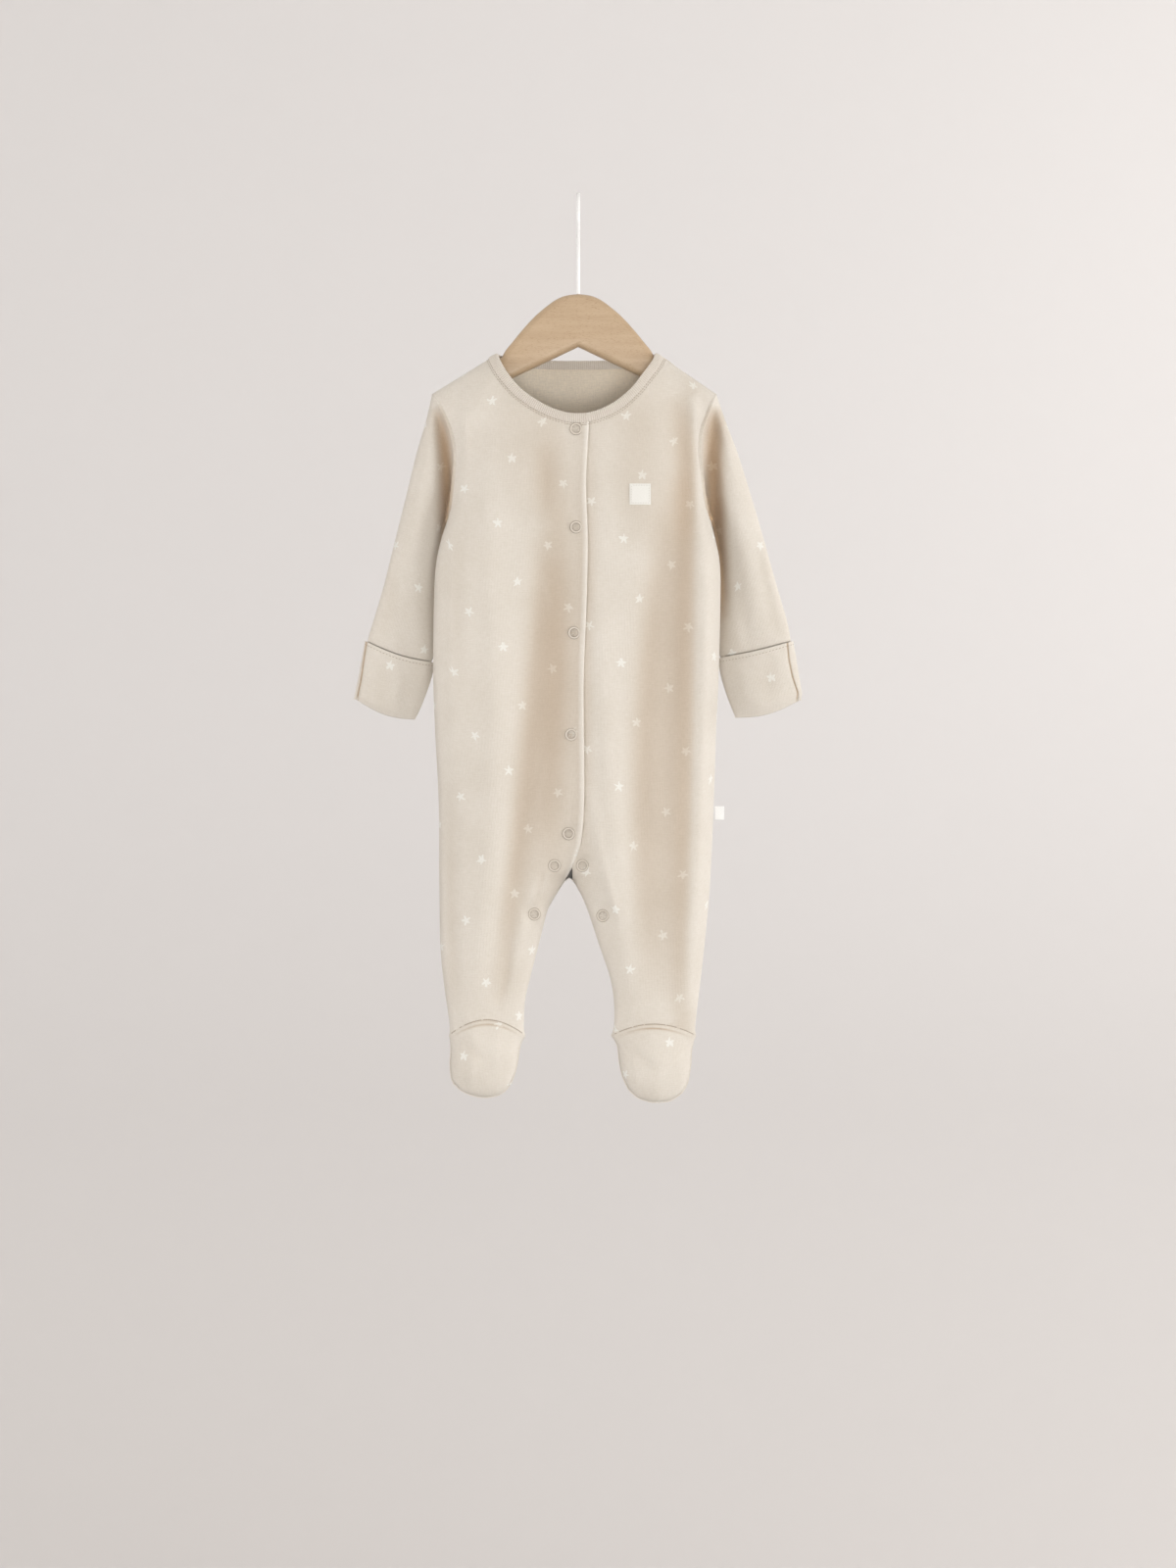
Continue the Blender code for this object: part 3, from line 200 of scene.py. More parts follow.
def make_knit_group():
    """Interlock knit: columns of loops, uneven yarn and a fine fuzz."""
    tree, given, result = new_group("interlock knit", [("Vector", "Vector"), ("Wale Pitch", "Float"),
                                                      ("Course Pitch", "Float")],
                                    [("Height", "Float"), ("Shade", "Float")])
    place = split_xyz(tree, given["Vector"])
    turns = math_node(tree, "DIVIDE", place["X"], given["Wale Pitch"])
    wale = math_node(tree, "SINE", math_node(tree, "MULTIPLY", turns, math.pi))
    wale = math_node(tree, "ABSOLUTE", wale)
    rows = math_node(tree, "DIVIDE", place["Y"], given["Course Pitch"])
    course = math_node(tree, "SINE", math_node(tree, "MULTIPLY", rows, 2 * math.pi))
    yarn = noise_node(tree, stretched(tree, given["Vector"], (1.1, 0.25, 1.0)), 1.0, 3.0, 0.6)
    threads = noise_node(tree, stretched(tree, given["Vector"], (0.18, 1.3, 1.0)), 1.0, 2.0)
    fuzz = noise_node(tree, given["Vector"], 2.2, 3.0, 0.7)
    height = math_node(tree, "MULTIPLY_ADD", course, 0.05, math_node(tree, "MULTIPLY", wale, 0.32))
    height = math_node(tree, "MULTIPLY_ADD", fuzz, 0.9, height)
    tree.links.new(height, result["Height"])
    shade = math_node(tree, "ADD", yarn, threads)
    shade = math_node(tree, "ADD", shade, fuzz)
    tree.links.new(remap(tree, shade, 1.0, 2.0), result["Shade"])
    return tree


STAR_PRINT = make_print_group()
INTERLOCK = make_knit_group()


def new_material(name):
    material = bpy.data.materials.new(name)
    material.use_nodes = True
    return material, material.node_tree, material.node_tree.nodes["Principled BSDF"]


def cloth_vector(tree):
    """Place on the cloth in millimetres, from the piece's own map."""
    own_map = tree.nodes.new("ShaderNodeUVMap")
    own_map.uv_map = "cloth"
    return stretched(tree, own_map.outputs["UV"], (1000.0, 1000.0, 1.0))


def bump_on(tree, shader, height, distance, strength=0.6):
    bump = tree.nodes.new("ShaderNodeBump")
    bump.inputs["Strength"].default_value = strength
    bump.inputs["Distance"].default_value = distance
    tree.links.new(height, bump.inputs["Height"])
    tree.links.new(bump.outputs["Normal"], shader.inputs["Normal"])


def object_place(tree):
    return tree.nodes.new("ShaderNodeTexCoord").outputs["Object"]


def vertex_value(tree, name):
    node = tree.nodes.new("ShaderNodeAttribute")
    node.attribute_name = name
    return node.outputs["Fac"]


def knit_over(tree, place, wale_pitch):
    """The knit's Height and Shade over a piece of cloth."""
    return group_node(tree, INTERLOCK, {"Vector": place, "Wale Pitch": wale_pitch,
                                        "Course Pitch": COURSE_PITCH})


def make_jersey(name, color, shade, printed):
    material, tree, shader = new_material(name)
    place = cloth_vector(tree)
    knit = knit_over(tree, place, WALE_PITCH)
    mottle = remap(tree, noise_node(tree, object_place(tree), 28.0, 3.0), 0.3, 0.7, 0.0, 0.22)
    depth = math_node(tree, "MULTIPLY_ADD", knit["Shade"], 0.62, mottle, clamp=True)
    base = mixed(tree, depth, color, shade)
    # the crease attribute: painted shade in hollows above 0, painted highlight on folded edges below 0
    crease = vertex_value(tree, "crease")
    hollow = math_node(tree, "MAXIMUM", crease, 0.0)
    painted_edge_highlight = math_node(tree, "MULTIPLY", crease, -1.0, clamp=True)
    base = mixed(tree, painted_edge_highlight, base, EDGE_PAINTED_HIGHLIGHT)
    if printed:
        stars = group_node(tree, STAR_PRINT, {"Vector": place})
        ink = math_node(tree, "MULTIPLY", stars["Mask"], remap(tree, knit["Shade"], 0.0, 1.0, 0.95, 0.6))
        base = mixed(tree, ink, base, STAR_COLOR)
    # painted shade in the hollows, warmer where they are deeper
    base = mixed(tree, hollow, base, CREASE_PAINTED_SHADE, "MULTIPLY")
    base = mixed(tree, math_node(tree, "POWER", hollow, 3.0), base, HOLLOW_PAINTED_SHADE, "MULTIPLY")
    tree.links.new(base, shader.inputs["Base Color"])
    tree.links.new(remap(tree, knit["Shade"], 0.0, 1.0, 0.82, 0.95), shader.inputs["Roughness"])
    shader.inputs["Sheen Weight"].default_value = 0.25
    shader.inputs["Sheen Roughness"].default_value = 0.55
    shader.inputs["Specular IOR Level"].default_value = 0.18
    bump_on(tree, shader, knit["Height"], 0.0004, 0.8)
    return material


PRINTED_JERSEY = make_jersey("printed_jersey", JERSEY_COLOR, JERSEY_SHADE, True)
BARE_JERSEY = make_jersey("jersey_inside", INSIDE_COLOR, JERSEY_SHADE, False)

# ---------------------------------------------------------------------------
# Back panel. Both halves and both legs in one cut of printed jersey, sewn to the
# fronts at the sides and to the sleeves, feet and neck binding.
# ---------------------------------------------------------------------------
RIGHT, LEFT = -1, 1
SIDES = ((RIGHT, "right"), (LEFT, "left"))
WALL = 0.95                  # interlock cloth
SHOULDER_ROUND = 70.0        # length over which the cloth rounds away from a shoulder
ROUNDNESS = 2.4              # of the sections; 2 is an ellipse, more is boxier
BACK_FLATNESS = 0.86         # the back hangs flatter than the front
SEAM_HALF_GAP = 0.12

Level = namedtuple("Level", "drop right_out left_out depth armhole_fullness seam_forward")
BODY = [
    Level(148, 108.8, 102.9, 22, 0.94, 0),
    Level(163, 101, 97, 23, 0.86, 0),
    Level(177, 95.2, 92, 24, 0.74, 0),
    Level(192, 92.5, 90.8, 25, 0.58, 0),
    Level(208, 93.3, 92.6, 26, 0.42, 0.2),
    Level(225, 95.3, 95, 26.5, 0.25, 1),
    Level(236, 96.8, 97.3, 27, 0.11, 1.8),
    Level(242, 97.8, 99, 27, 0, 2.3),
    Level(257, 102.5, 102.6, 27, 0, 3.6),
    Level(273, 106, 105.8, 27, 0, 5),
    Level(292, 107.7, 106.7, 27, 0, 5),
    Level(359, 108.6, 105.3, 27, 0, 5),
    Level(400, 107.3, 103.5, 26.5, 0, 3),
    Level(456, 104.6, 101.7, 25, 0, 0.5),
    Level(518, 104.2, 98.8, 21.5, 0, 0),
    Level(564, 103.3, 94.6, 18, 0, 0),
    Level(595, 100.2, 91, 15.5, 0, 0),
    Level(617, 97, 88.4, 14, 0, 0),
    Level(630.5, 95.8, 87.3, 13, 0, 0),
]
SHOULDER_DROP = 148.0
ARM_DEPTH_DROP = 190.0       # armhole height level with the bottom of the neckline
UNDERARM_DROP = 242.0
CHEST_SHARE = 0.2            # of the placket's length that lies above the underarm
CROTCH_DROP = 512.0
THIGH_DROP = 508.0           # side seam height level with the crotch
ANKLE_DROP = 630.0
HIP_DROP = 440.0             # from here down the suit's one hollow parts into two legs
HIP_LENGTH = 80.0
BODY_CREST = 0.62            # where each half is deepest, as a share from its side seam
LEG_CREST = 0.50

Inseam = namedtuple("Inseam", "drop right left")
INSEAM = [
    Inseam(118, 0, 0),
    Inseam(300, -1, -1),
    Inseam(430, -3.5, -3.5),
    Inseam(490, -4.8, -4.5),
    Inseam(502, -5.8, -4.6),
    Inseam(512, -9.2, -4.2),
    Inseam(524, -16.5, 2.1),
    Inseam(535, -22.6, 6.8),
    Inseam(547, -25.9, 10.9),
    Inseam(560, -29.2, 15.1),
    Inseam(586, -35.9, 23.8),
    Inseam(602, -39.6, 26.6),
    Inseam(617, -40.6, 27.1),
    Inseam(630, -40.7, 25.9),
]

Neck = namedtuple("Neck", "x drop rib_x rib_drop")
BACK_NECK = [
    Neck(-66.2, 121.9, -60.6, 118.5),
    Neck(-55, 125.4, -51.5, 120),
    Neck(-38, 127.2, -36, 121),
    Neck(-19, 127.8, -18.5, 121.5),
    Neck(0, 127.9, 0, 121.6),
    Neck(19, 127.8, 18.5, 121.5),
    Neck(36, 127, 34, 120.9),
    Neck(52.5, 125.2, 49, 119.8),
    Neck(63.5, 121.5, 58.1, 118.1),
]
NECK_STEPS = 400             # points at which a neckline is measured

# Creases: three points of a trough or ridge, its half width and its height
Fold = namedtuple("Fold", "x1 drop1 x2 drop2 x3 drop3 width height")
BACK_FOLDS = [
    Fold(-62, 210, -55, 380, -66, 600, 9, 2.4),
    Fold(-24, 230, -34, 420, -52, 600, 9, -3.2),
    Fold(30, 270, 34, 420, 50, 600, 9, 2.4),
    Fold(68, 230, 62, 400, 70, 590, 9, -3.2),
    Fold(-88, 250, -80, 360, -84, 560, 7, -1.8),
    Fold(86, 300, 84, 430, 80, 590, 6, 1.6),
    Fold(-4, 140, 3, 260, -2, 420, 12, -1.8),
    Fold(48, 150, 40, 200, 44, 290, 8, 1.4),
    Fold(-50, 150, -44, 190, -46, 260, 8, -1.4),
    Fold(14, 430, 16, 480, 27, 545, 5, 1.6),
    Fold(-12, 440, -20, 500, -33, 560, 5, 1.6),
    Fold(-90, 470, -60, 492, -18, 500, 6, -1.2),
    Fold(88, 474, 60, 488, 16, 498, 6, -1.1),
    Fold(-80, 590, -66, 612, -50, 600, 4, -1),
    Fold(76, 588, 58, 610, 42, 596, 4, -1),
]
FOLD_EDGE = 12.0             # folds fade out this near to a seam


def smooth(t):
    t = np.clip(t, 0.0, 1.0)
    return t * t * (3 - 2 * t)


def rise(t, power=ROUNDNESS):
    """Quarter of a rounded section: 0 at a seam, upright there, and 1 at its crest."""
    t = np.clip(t, 0.0, 1.0)
    return (1 - (1 - t) ** power) ** (1 / power)


def lerp(a, b, t):
    return a + (b - a) * t


def curve_through(keys, values):
    """A smooth curve through points, ready to be read at many places at once."""
    keys, values = np.array(keys, float), np.array(values, float)
    slopes = np.empty_like(values)
    slopes[1:-1] = (values[2:] - values[:-2]) / (keys[2:] - keys[:-2])
    slopes[0] = (values[1] - values[0]) / (keys[1] - keys[0])
    slopes[-1] = (values[-1] - values[-2]) / (keys[-1] - keys[-2])

    def read(at):
        at = np.clip(at, keys[0], keys[-1])
        i = np.clip(np.searchsorted(keys, at, side="right") - 1, 0, len(keys) - 2)
        span = keys[i + 1] - keys[i]
        t = (at - keys[i]) / span
        return ((2 * t**3 - 3 * t**2 + 1) * values[i] + (t**3 - 2 * t**2 + t) * span * slopes[i]
                + (3 * t**2 - 2 * t**3) * values[i + 1] + (t**3 - t**2) * span * slopes[i + 1])
    return read


def columns_of(rows, key):
    """Each column of a table as a curve over the key column."""
    keys = [getattr(row, key) for row in rows]
    return {name: curve_through(keys, [getattr(row, name) for row in rows])
            for name in rows[0]._fields if name != key}


BODY_AT = columns_of(BODY, "drop")
INSEAM_AT = columns_of(INSEAM, "drop")
ANKLE_TIP = 1.1              # how far the ends of the ankle seam stick out
ANKLE_TIP_LENGTH = 3.0


def ankle_tip(drop):
    return ANKLE_TIP * np.exp(-((drop - ANKLE_DROP) / ANKLE_TIP_LENGTH) ** 2)


def side_edge(side, drop):
    """Signed x of the outer edge of the body and leg."""
    return side * (BODY_AT["right_out" if side == RIGHT else "left_out"](drop) + ankle_tip(drop))


def inner_edge(side, drop):
    return INSEAM_AT["right" if side == RIGHT else "left"](drop) - side * ankle_tip(drop)


def centre_line(drop):
    return (INSEAM_AT["right"](drop) + INSEAM_AT["left"](drop)) / 2


def along_table(rows, t):
    """The columns of a table at t, from 0 at its first row to 1 at its last."""
    place = np.clip(t, 0.0, 1.0) * (len(rows) - 1)
    keys = range(len(rows))
    return [curve_through(keys, [getattr(row, name) for row in rows])(place) for name in rows[0]._fields]


def run_along(points):
    """Distance along a route of points, or down each column of a grid of them."""
    steps = np.linalg.norm(np.diff(points, axis=0), axis=-1)
    return np.concatenate([np.zeros_like(steps[:1]), np.cumsum(steps, axis=0)])


def read_route(route, lengths, places):
    """The points that lie at distances along a route."""
    return np.stack([np.interp(places, lengths, route[:, k]) for k in range(3)], axis=-1)


def neck_at(rows, share):
    """x, drop, rib_x and rib_drop at a share of the neckline's length."""
    steps = np.linspace(0.0, 1.0, NECK_STEPS)
    x, drop, _, _ = along_table(rows, steps)
    lengths = run_along(np.stack([x, drop], axis=-1))
    return along_table(rows, np.interp(np.asarray(share) * lengths[-1], lengths, steps))


def neck_share_at(rows, x):
    shares = np.linspace(0.0, 1.0, NECK_STEPS)
    return float(np.interp(x, neck_at(rows, shares)[0], shares))


def below_shoulder(x, drop):
    """Distance from the shoulder lines, which the cloth folds over."""
    away = []
    for tip, neck in ((-BODY[0].right_out, BACK_NECK[0]), (BODY[0].left_out, BACK_NECK[-1])):
        line_x, line_drop = neck.rib_x - tip, neck.rib_drop - SHOULDER_DROP
        t = ((x - tip) * line_x + (drop - SHOULDER_DROP) * line_drop) / (line_x**2 + line_drop**2)
        t = np.clip(t, 0.0, 1.0)
        away.append(np.hypot(x - tip - line_x * t, drop - SHOULDER_DROP - line_drop * t))
    return np.minimum(*away)


def fold_height(folds, x, drop):
    """Sum of the creases at places, each a smooth bend through its three points."""
    total = np.zeros(np.shape(x))
    bend = np.linspace(0.0, 1.0, 17)
    start, middle, end = (1 - bend) ** 2, 2 * bend * (1 - bend), bend**2
    for fold in folds:
        middle_x = 2 * fold.x2 - (fold.x1 + fold.x3) / 2
        middle_drop = 2 * fold.drop2 - (fold.drop1 + fold.drop3) / 2
        route_x = start * fold.x1 + middle * middle_x + end * fold.x3
        route_drop = start * fold.drop1 + middle * middle_drop + end * fold.drop3
        nearest = np.full(np.shape(x), 1e9)
        place = np.zeros(np.shape(x))
        for i in range(len(bend) - 1):
            step_x, step_drop = route_x[i + 1] - route_x[i], route_drop[i + 1] - route_drop[i]
            along = (x - route_x[i]) * step_x + (drop - route_drop[i]) * step_drop
            t = np.clip(along / (step_x**2 + step_drop**2), 0.0, 1.0)
            away = np.hypot(x - route_x[i] - step_x * t, drop - route_drop[i] - step_drop * t)
            closer = away < nearest
            nearest = np.where(closer, away, nearest)
            place = np.where(closer, (i + t) / (len(bend) - 1), place)
        total += fold.height * np.exp(-(nearest / fold.width) ** 2) * np.sin(math.pi * place) ** 0.6
    return total


def ripple(x, drop, size, seed):
    """Soft uneven noise from -1 to 1 with bumps of about a size."""
    flat = [noise.noise((a / size, b / size, seed)) for a, b in zip(np.ravel(x), np.ravel(drop))]
    return np.array(flat).reshape(np.shape(x))


def half_edges(x, drop):
    """Outer and inner edges of the half that a place lies on."""
    right = x < centre_line(drop)
    return (np.where(right, side_edge(RIGHT, drop), side_edge(LEFT, drop)),
            np.where(right, inner_edge(RIGHT, drop), inner_edge(LEFT, drop)))


def half_depth(x, drop, folds, seed=0.0):
    """Distance from the seam plane to the outside of the cloth."""
    outer, inner = half_edges(x, drop)
    across = np.clip((x - outer) / (inner - outer), 0.0, 1.0)
    crest = lerp(BODY_CREST, LEG_CREST, smooth((drop - HIP_DROP) / HIP_LENGTH))
    outer_low = np.clip(BODY_AT["armhole_fullness"](drop), 0.0, 1.0)
    toward_crotch = np.clip((drop - HIP_DROP) / (CROTCH_DROP - HIP_DROP), 0.0, 1.0)
    inner_low = (1 - toward_crotch**ROUNDNESS) ** (1 / ROUNDNESS)
    low = np.where(across < crest, outer_low, inner_low)
    t = np.where(across < crest, across / crest, (1 - across) / (1 - crest))
    section = (1 - (1 - low**ROUNDNESS) * (1 - t) ** ROUNDNESS) ** (1 / ROUNDNESS)
    from_shoulder = below_shoulder(x, drop)
    depth = BODY_AT["depth"](drop) * rise(from_shoulder / SHOULDER_ROUND) * section
    if folds is None:
        return depth
    seam_near = np.minimum(np.abs(x - outer), from_shoulder)
    seam_near = np.where(drop > CROTCH_DROP - 30.0, np.minimum(seam_near, np.abs(x - inner)), seam_near)
    creases = fold_height(folds, x, drop) + 0.7 * ripple(x, drop * 0.45, 26.0, seed)
    creases += 0.22 * ripple(x, drop * 0.6, 9.0, seed + 7.0)
    return depth + creases * smooth(seam_near / FOLD_EDGE)


def seam_plane(x, drop):
    """The y of the seams: the body's side seams are pushed forward, past the sleeves."""
    outer, inner = half_edges(x, drop)
    across = (x - outer) / (inner - outer)
    return -BODY_AT["seam_forward"](drop) * (1 - smooth(across / 0.5))


def placed(x, y, drop):
    """Points in space from their x, y and drop."""
    return np.stack(np.broadcast_arrays(x, y, -drop), axis=-1)


def on_back(x, drop, folds=BACK_FOLDS):
    depth = np.maximum(half_depth(x, drop, folds, 3.1) * BACK_FLATNESS, SEAM_HALF_GAP)
    return placed(x, seam_plane(x, drop) + depth, drop)


NECK_ROWS, ARM_ROWS, BODY_ROWS, LEG_ROWS = 34, 22, 110, 54
COLUMNS = 46


def row_stations():
    """Rows of a front or back: the outer edge's drop, and for the inner edge the kind
    of stretch it lies on and its share along it."""
    neck = (np.arange(NECK_ROWS) / NECK_ROWS) ** 1.5
    arm = np.arange(ARM_ROWS) / ARM_ROWS
    trunk = np.arange(BODY_ROWS) / BODY_ROWS
    leg = 1 - (1 - np.arange(LEG_ROWS + 1) / LEG_ROWS) ** 1.5
    levels = (SHOULDER_DROP, ARM_DEPTH_DROP, UNDERARM_DROP, THIGH_DROP, ANKLE_DROP)
    outer = np.concatenate([lerp(top, low, share) for top, low, share
                            in zip(levels, levels[1:], (neck, arm, trunk, leg))])
    placket = np.concatenate([arm * CHEST_SHARE, lerp(CHEST_SHARE, 1.0, 1 - (1 - trunk) ** 1.5)])
    return outer, neck, placket, leg


def panel_places(side, inner_edges, ankle_arch=None):
    """x and drop of every point of one half of the front or back, shoulder to ankle."""
    outer_drop, neck, placket, leg = row_stations()
    inner_x, inner_drop = inner_edges(neck, placket, leg)
    even = 1 - np.cos(math.pi / 2 * np.linspace(0.0, 1.0, COLUMNS + 1))
    both = (1 - np.cos(math.pi * np.linspace(0.0, 1.0, COLUMNS + 1))) / 2
    flat = np.linspace(0.0, 1.0, COLUMNS + 1)
    even, both = lerp(flat, even, 0.6), lerp(flat, both, 0.6)
    legs = smooth((outer_drop - HIP_DROP) / 70.0)[:, None]
    shares = lerp(even[None, :], both[None, :], legs)
    outer_x = side_edge(side, outer_drop)
    x = lerp(outer_x[:, None], inner_x[:, None], shares)
    drop = lerp(outer_drop[:, None], inner_drop[:, None], shares)
    if ankle_arch is not None:
        below = smooth((outer_drop - THIGH_DROP) / (ANKLE_DROP - THIGH_DROP))[:, None]
        drop = drop - ankle_arch(shares) * below**2
    return x, drop


def back_inner(side):
    """Where a half back's rows end: the neckline, the middle, then the inseam."""
    middle = neck_share_at(BACK_NECK, 0.0)
    top = float(neck_at(BACK_NECK, middle)[1])

    def edges(neck, placket, leg):
        neck_x, neck_drop, _, _ = neck_at(BACK_NECK, lerp(0.0 if side == RIGHT else 1.0, middle, neck))
        placket_drop = lerp(top, CROTCH_DROP, placket)
        leg_drop = lerp(CROTCH_DROP, ANKLE_DROP, leg)
        leg_x = inner_edge(side, leg_drop)
        leg_x[0] = centre_line(CROTCH_DROP)
        return (np.concatenate([neck_x, centre_line(placket_drop), leg_x]),
                np.concatenate([neck_drop, placket_drop, leg_drop]))
    return edges


MAP_STEP = 2.0


def cloth_map(surface, points, anchor, lean=0.0):
    """Place on the flat cloth of every point, with a star at the anchor (x, drop). The
    slack over curved stretches is measured on a lattice. lean turns the grain."""
    lattice_x = np.arange(-116.0, 117.0, MAP_STEP)
    lattice_drop = np.arange(116.0, 682.0, MAP_STEP)
    depth = surface(*np.meshgrid(lattice_x, lattice_drop))[..., 1]
    slack = []
    for axis, keys, origin in ((1, lattice_x, anchor[0]), (0, lattice_drop, anchor[1])):
        climb = np.diff(depth, axis=axis, prepend=depth.take([0], axis))
        extra = np.cumsum(np.hypot(MAP_STEP, climb) - MAP_STEP, axis=axis)
        slack.append(extra - extra.take([int(np.argmin(np.abs(keys - origin)))], axis))
    x, drop = points[..., 0], -points[..., 2]
    column = np.clip((x - lattice_x[0]) / MAP_STEP, 0, len(lattice_x) - 1.001)
    row = np.clip((drop - lattice_drop[0]) / MAP_STEP, 0, len(lattice_drop) - 1.001)
    i, j = row.astype(int), column.astype(int)
    across, down = [lerp(lerp(part[i, j], part[i, j + 1], column - j),
                         lerp(part[i + 1, j], part[i + 1, j + 1], column - j), row - i) for part in slack]
    across, down = x - anchor[0] + across, drop - anchor[1] + down
    return np.stack([across * math.cos(lean) - down * math.sin(lean),
                     across * math.sin(lean) + down * math.cos(lean)], axis=-1)


def sheet_object(name, grids, wall=WALL, materials=(PRINTED_JERSEY, BARE_JERSEY)):
    """Welds grids into one sheet with a wall that grows inwards. Each grid has its
    points, its cloth map, and its way out: a direction, or a core point for each row."""
    vertices, faces, maps = [], [], []
    for points, cloth, out in grids:
        rows, columns = points.shape[:2]
        first = len(vertices)
        vertices.extend((points.reshape(-1, 3) * MM).tolist())
        index = first + np.arange(rows * columns).reshape(rows, columns)
        quads = np.stack([index[:-1, :-1], index[1:, :-1], index[1:, 1:], index[:-1, 1:]], axis=-1)
        steps = np.cross(points[1:, :-1] - points[:-1, :-1], points[:-1, 1:] - points[:-1, :-1])
        middles = (points[1:, 1:] + points[:-1, :-1]) / 2
        if np.ndim(out) > 1:
            out = middles - (out[1:] + out[:-1])[:, None] / 2
        if np.sum(steps * out) < 0:
            quads = quads[..., ::-1]
        faces.extend(quads.reshape(-1, 4).tolist())
        flat = cloth.reshape(-1, 2) * MM
        maps.append(flat[(quads.reshape(-1) - first)])
    mesh = bpy.data.meshes.new(name)
    mesh.from_pydata(vertices, [], faces)
    layer = mesh.uv_layers.new(name="cloth")
    layer.data.foreach_set("uv", np.concatenate(maps).ravel())
    build = bmesh.new()
    build.from_mesh(mesh)
    bmesh.ops.remove_doubles(build, verts=build.verts, dist=2e-6)
    bmesh.ops.dissolve_degenerate(build, edges=build.edges, dist=1e-7)
    for edge in build.edges:
        edge.smooth = not edge.is_boundary
    build.to_mesh(mesh)
    build.free()
    mesh.shade_smooth()
    sheet = bpy.data.objects.new(name, mesh)
    bpy.context.scene.collection.objects.link(sheet)
    for material in materials:
        mesh.materials.append(material)
    solidify = sheet.modifiers.new("wall", "SOLIDIFY")
    solidify.thickness = wall * MM
    solidify.offset = -1.0
    solidify.material_offset = len(materials) - 1
    return sheet


def paint_light_and_shade(sheet, folds, deepest, most=1.0, line=None):
    """Paints shade into the hollows of a piece, from 0 to 1, for its material. line(x, y, drop)
    is a finer painted shade, from 0 to 1, or a painted highlight on a folded edge, down to -1."""
    places = np.zeros(len(sheet.data.vertices) * 3)
    sheet.data.vertices.foreach_get("co", places)
    x, y, z = (places.reshape(-1, 3) / MM).T
    hollows = most * np.tanh(np.maximum(-fold_height(folds, x, -z), 0.0) / deepest / most)
    if line is not None:
        fine = line(x, y, -z)
        hollows = np.clip(hollows * (1 - np.abs(fine)) + fine, -1.0, 1.0)
    layer = sheet.data.attributes.new("crease", "FLOAT", "POINT")
    layer.data.foreach_set("value", hollows)


BACK_STAR = (48.0, 240.0)    # a star's place on each half, and the lean of the cloth's grain
BACK_LEAN = 0.02
CROTCH_PAINTED_LIGHT = (-5.0, 14.0)  # painted light behind the crotch: its middle and its reach
HANGER_PAINTED_SHADOW = (12.0, 38.0)  # painted shadow by the hanger: from and to this far left of the middle


def back_painted_light_and_shade(x, y, drop):
    """Painted shadow beside the hanger's foot, and painted light that keeps the cloth pale behind the
    crotch.
    """
    middle, reach = CROTCH_PAINTED_LIGHT
    crotch = np.exp(-((x - middle) / reach) ** 2 - ((drop - CROTCH_DROP) / reach) ** 2)
    near, far = HANGER_PAINTED_SHADOW
    hanger = smooth((x - near) / (far - near)) * (1 - smooth((drop - 120.0) / 50.0))
    return 0.45 * hanger - 0.9 * crotch


back_grids = []
for back_side in (RIGHT, LEFT):
    back_points = on_back(*panel_places(back_side, back_inner(back_side)))
    back_star = (back_side * BACK_STAR[0], BACK_STAR[1])
    back_print = cloth_map(on_back, back_points, back_star, back_side * BACK_LEAN)
    back_grids.append((back_points, back_print, (0, 1, 0)))
back = sheet_object("suit_back", back_grids)

paint_light_and_shade(back, BACK_FOLDS, deepest=9.0, line=back_painted_light_and_shade)
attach(back, "root")
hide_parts("back_panel")

# ---------------------------------------------------------------------------
# Fronts. Each is cut in one with its leg. The right one laps over the left: its
# edge is folded back on itself as a placket, which runs down into the crotch.
# ---------------------------------------------------------------------------
Placket = namedtuple("Placket", "drop over under")
PLACKET = [
    Placket(170.4, 8.2, -12),
    Placket(217, 6, -12),
    Placket(258, 7.2, -12),
    Placket(307, 6.3, -12.5),
    Placket(366, 4.2, -13.5),
    Placket(433, 4.6, -15),
    Placket(465, 4.1, -14),
    Placket(485, 1.8, -10),
    Placket(495, -1.8, -6.5),
    Placket(502, -4.8, -4.6),
    Placket(512, -9.2, -4.2),
]
PLACKET_AT = columns_of(PLACKET, "drop")
PLACKET_ROLL = 1.1           # radius of the folded edge
PLACKET_RETURN = 4.0         # visible from inside only
PLACKET_PUFF = 1.2           # the folded edge is a little thicker than the cloth beside it
PUFF_WIDTH = 4.0
PUFF_INSET = 0.4             # from the rounded edge to where the puff is highest
PUFF_TOP = 0.3               # its share at the neck, where the binding holds it flat
PUFF_TOP_LENGTH = 10.0
PUFF_LOW = 0.6               # its share from here down
PUFF_LOW_DROP = 470.0
PUFF_LOW_LENGTH = 20.0
RIM_PAINTED_HIGHLIGHT = 0.5               # painted highlight: the folded edge is painted this much paler, over this width
RIM_WIDTH = 2.2
LAP = 2.3                    # how far the left front lies behind the right one
LAP_BLEND = 2.0
LAP_CLEAR = -2.4
LAP_END_DROP = 503.0
LAP_END_BLEND = 9.0
FRONT_STAR = {RIGHT: (-49.2, 198.5), LEFT: (47.8, 211.0)}
FRONT_LEAN = {RIGHT: 0.045, LEFT: -0.024}
FRONT_NECK = [
    Neck(-66.2, 121.9, -60.6, 118.5),
    Neck(-63.6, 128.5, -58, 125),
    Neck(-57.3, 138.5, -52.3, 134.6),
    Neck(-46.9, 150.4, -42.9, 145.8),
    Neck(-33.3, 160.3, -30.6, 154.8),
    Neck(-21.1, 166.4, -19.2, 160.9),
    Neck(-9, 170.2, -8.4, 164.1),
    Neck(0, 171, 0, 164.8),
    Neck(9, 170.3, 8.4, 164.1),
    Neck(21.1, 166.4, 19.2, 160.5),
    Neck(33, 159.7, 30, 154),
    Neck(43.7, 149.8, 39.8, 145.3),
    Neck(52.8, 138.5, 48, 134.8),
    Neck(60.4, 127.8, 55.3, 124.6),
    Neck(63.5, 121.5, 58.1, 118.1),
]
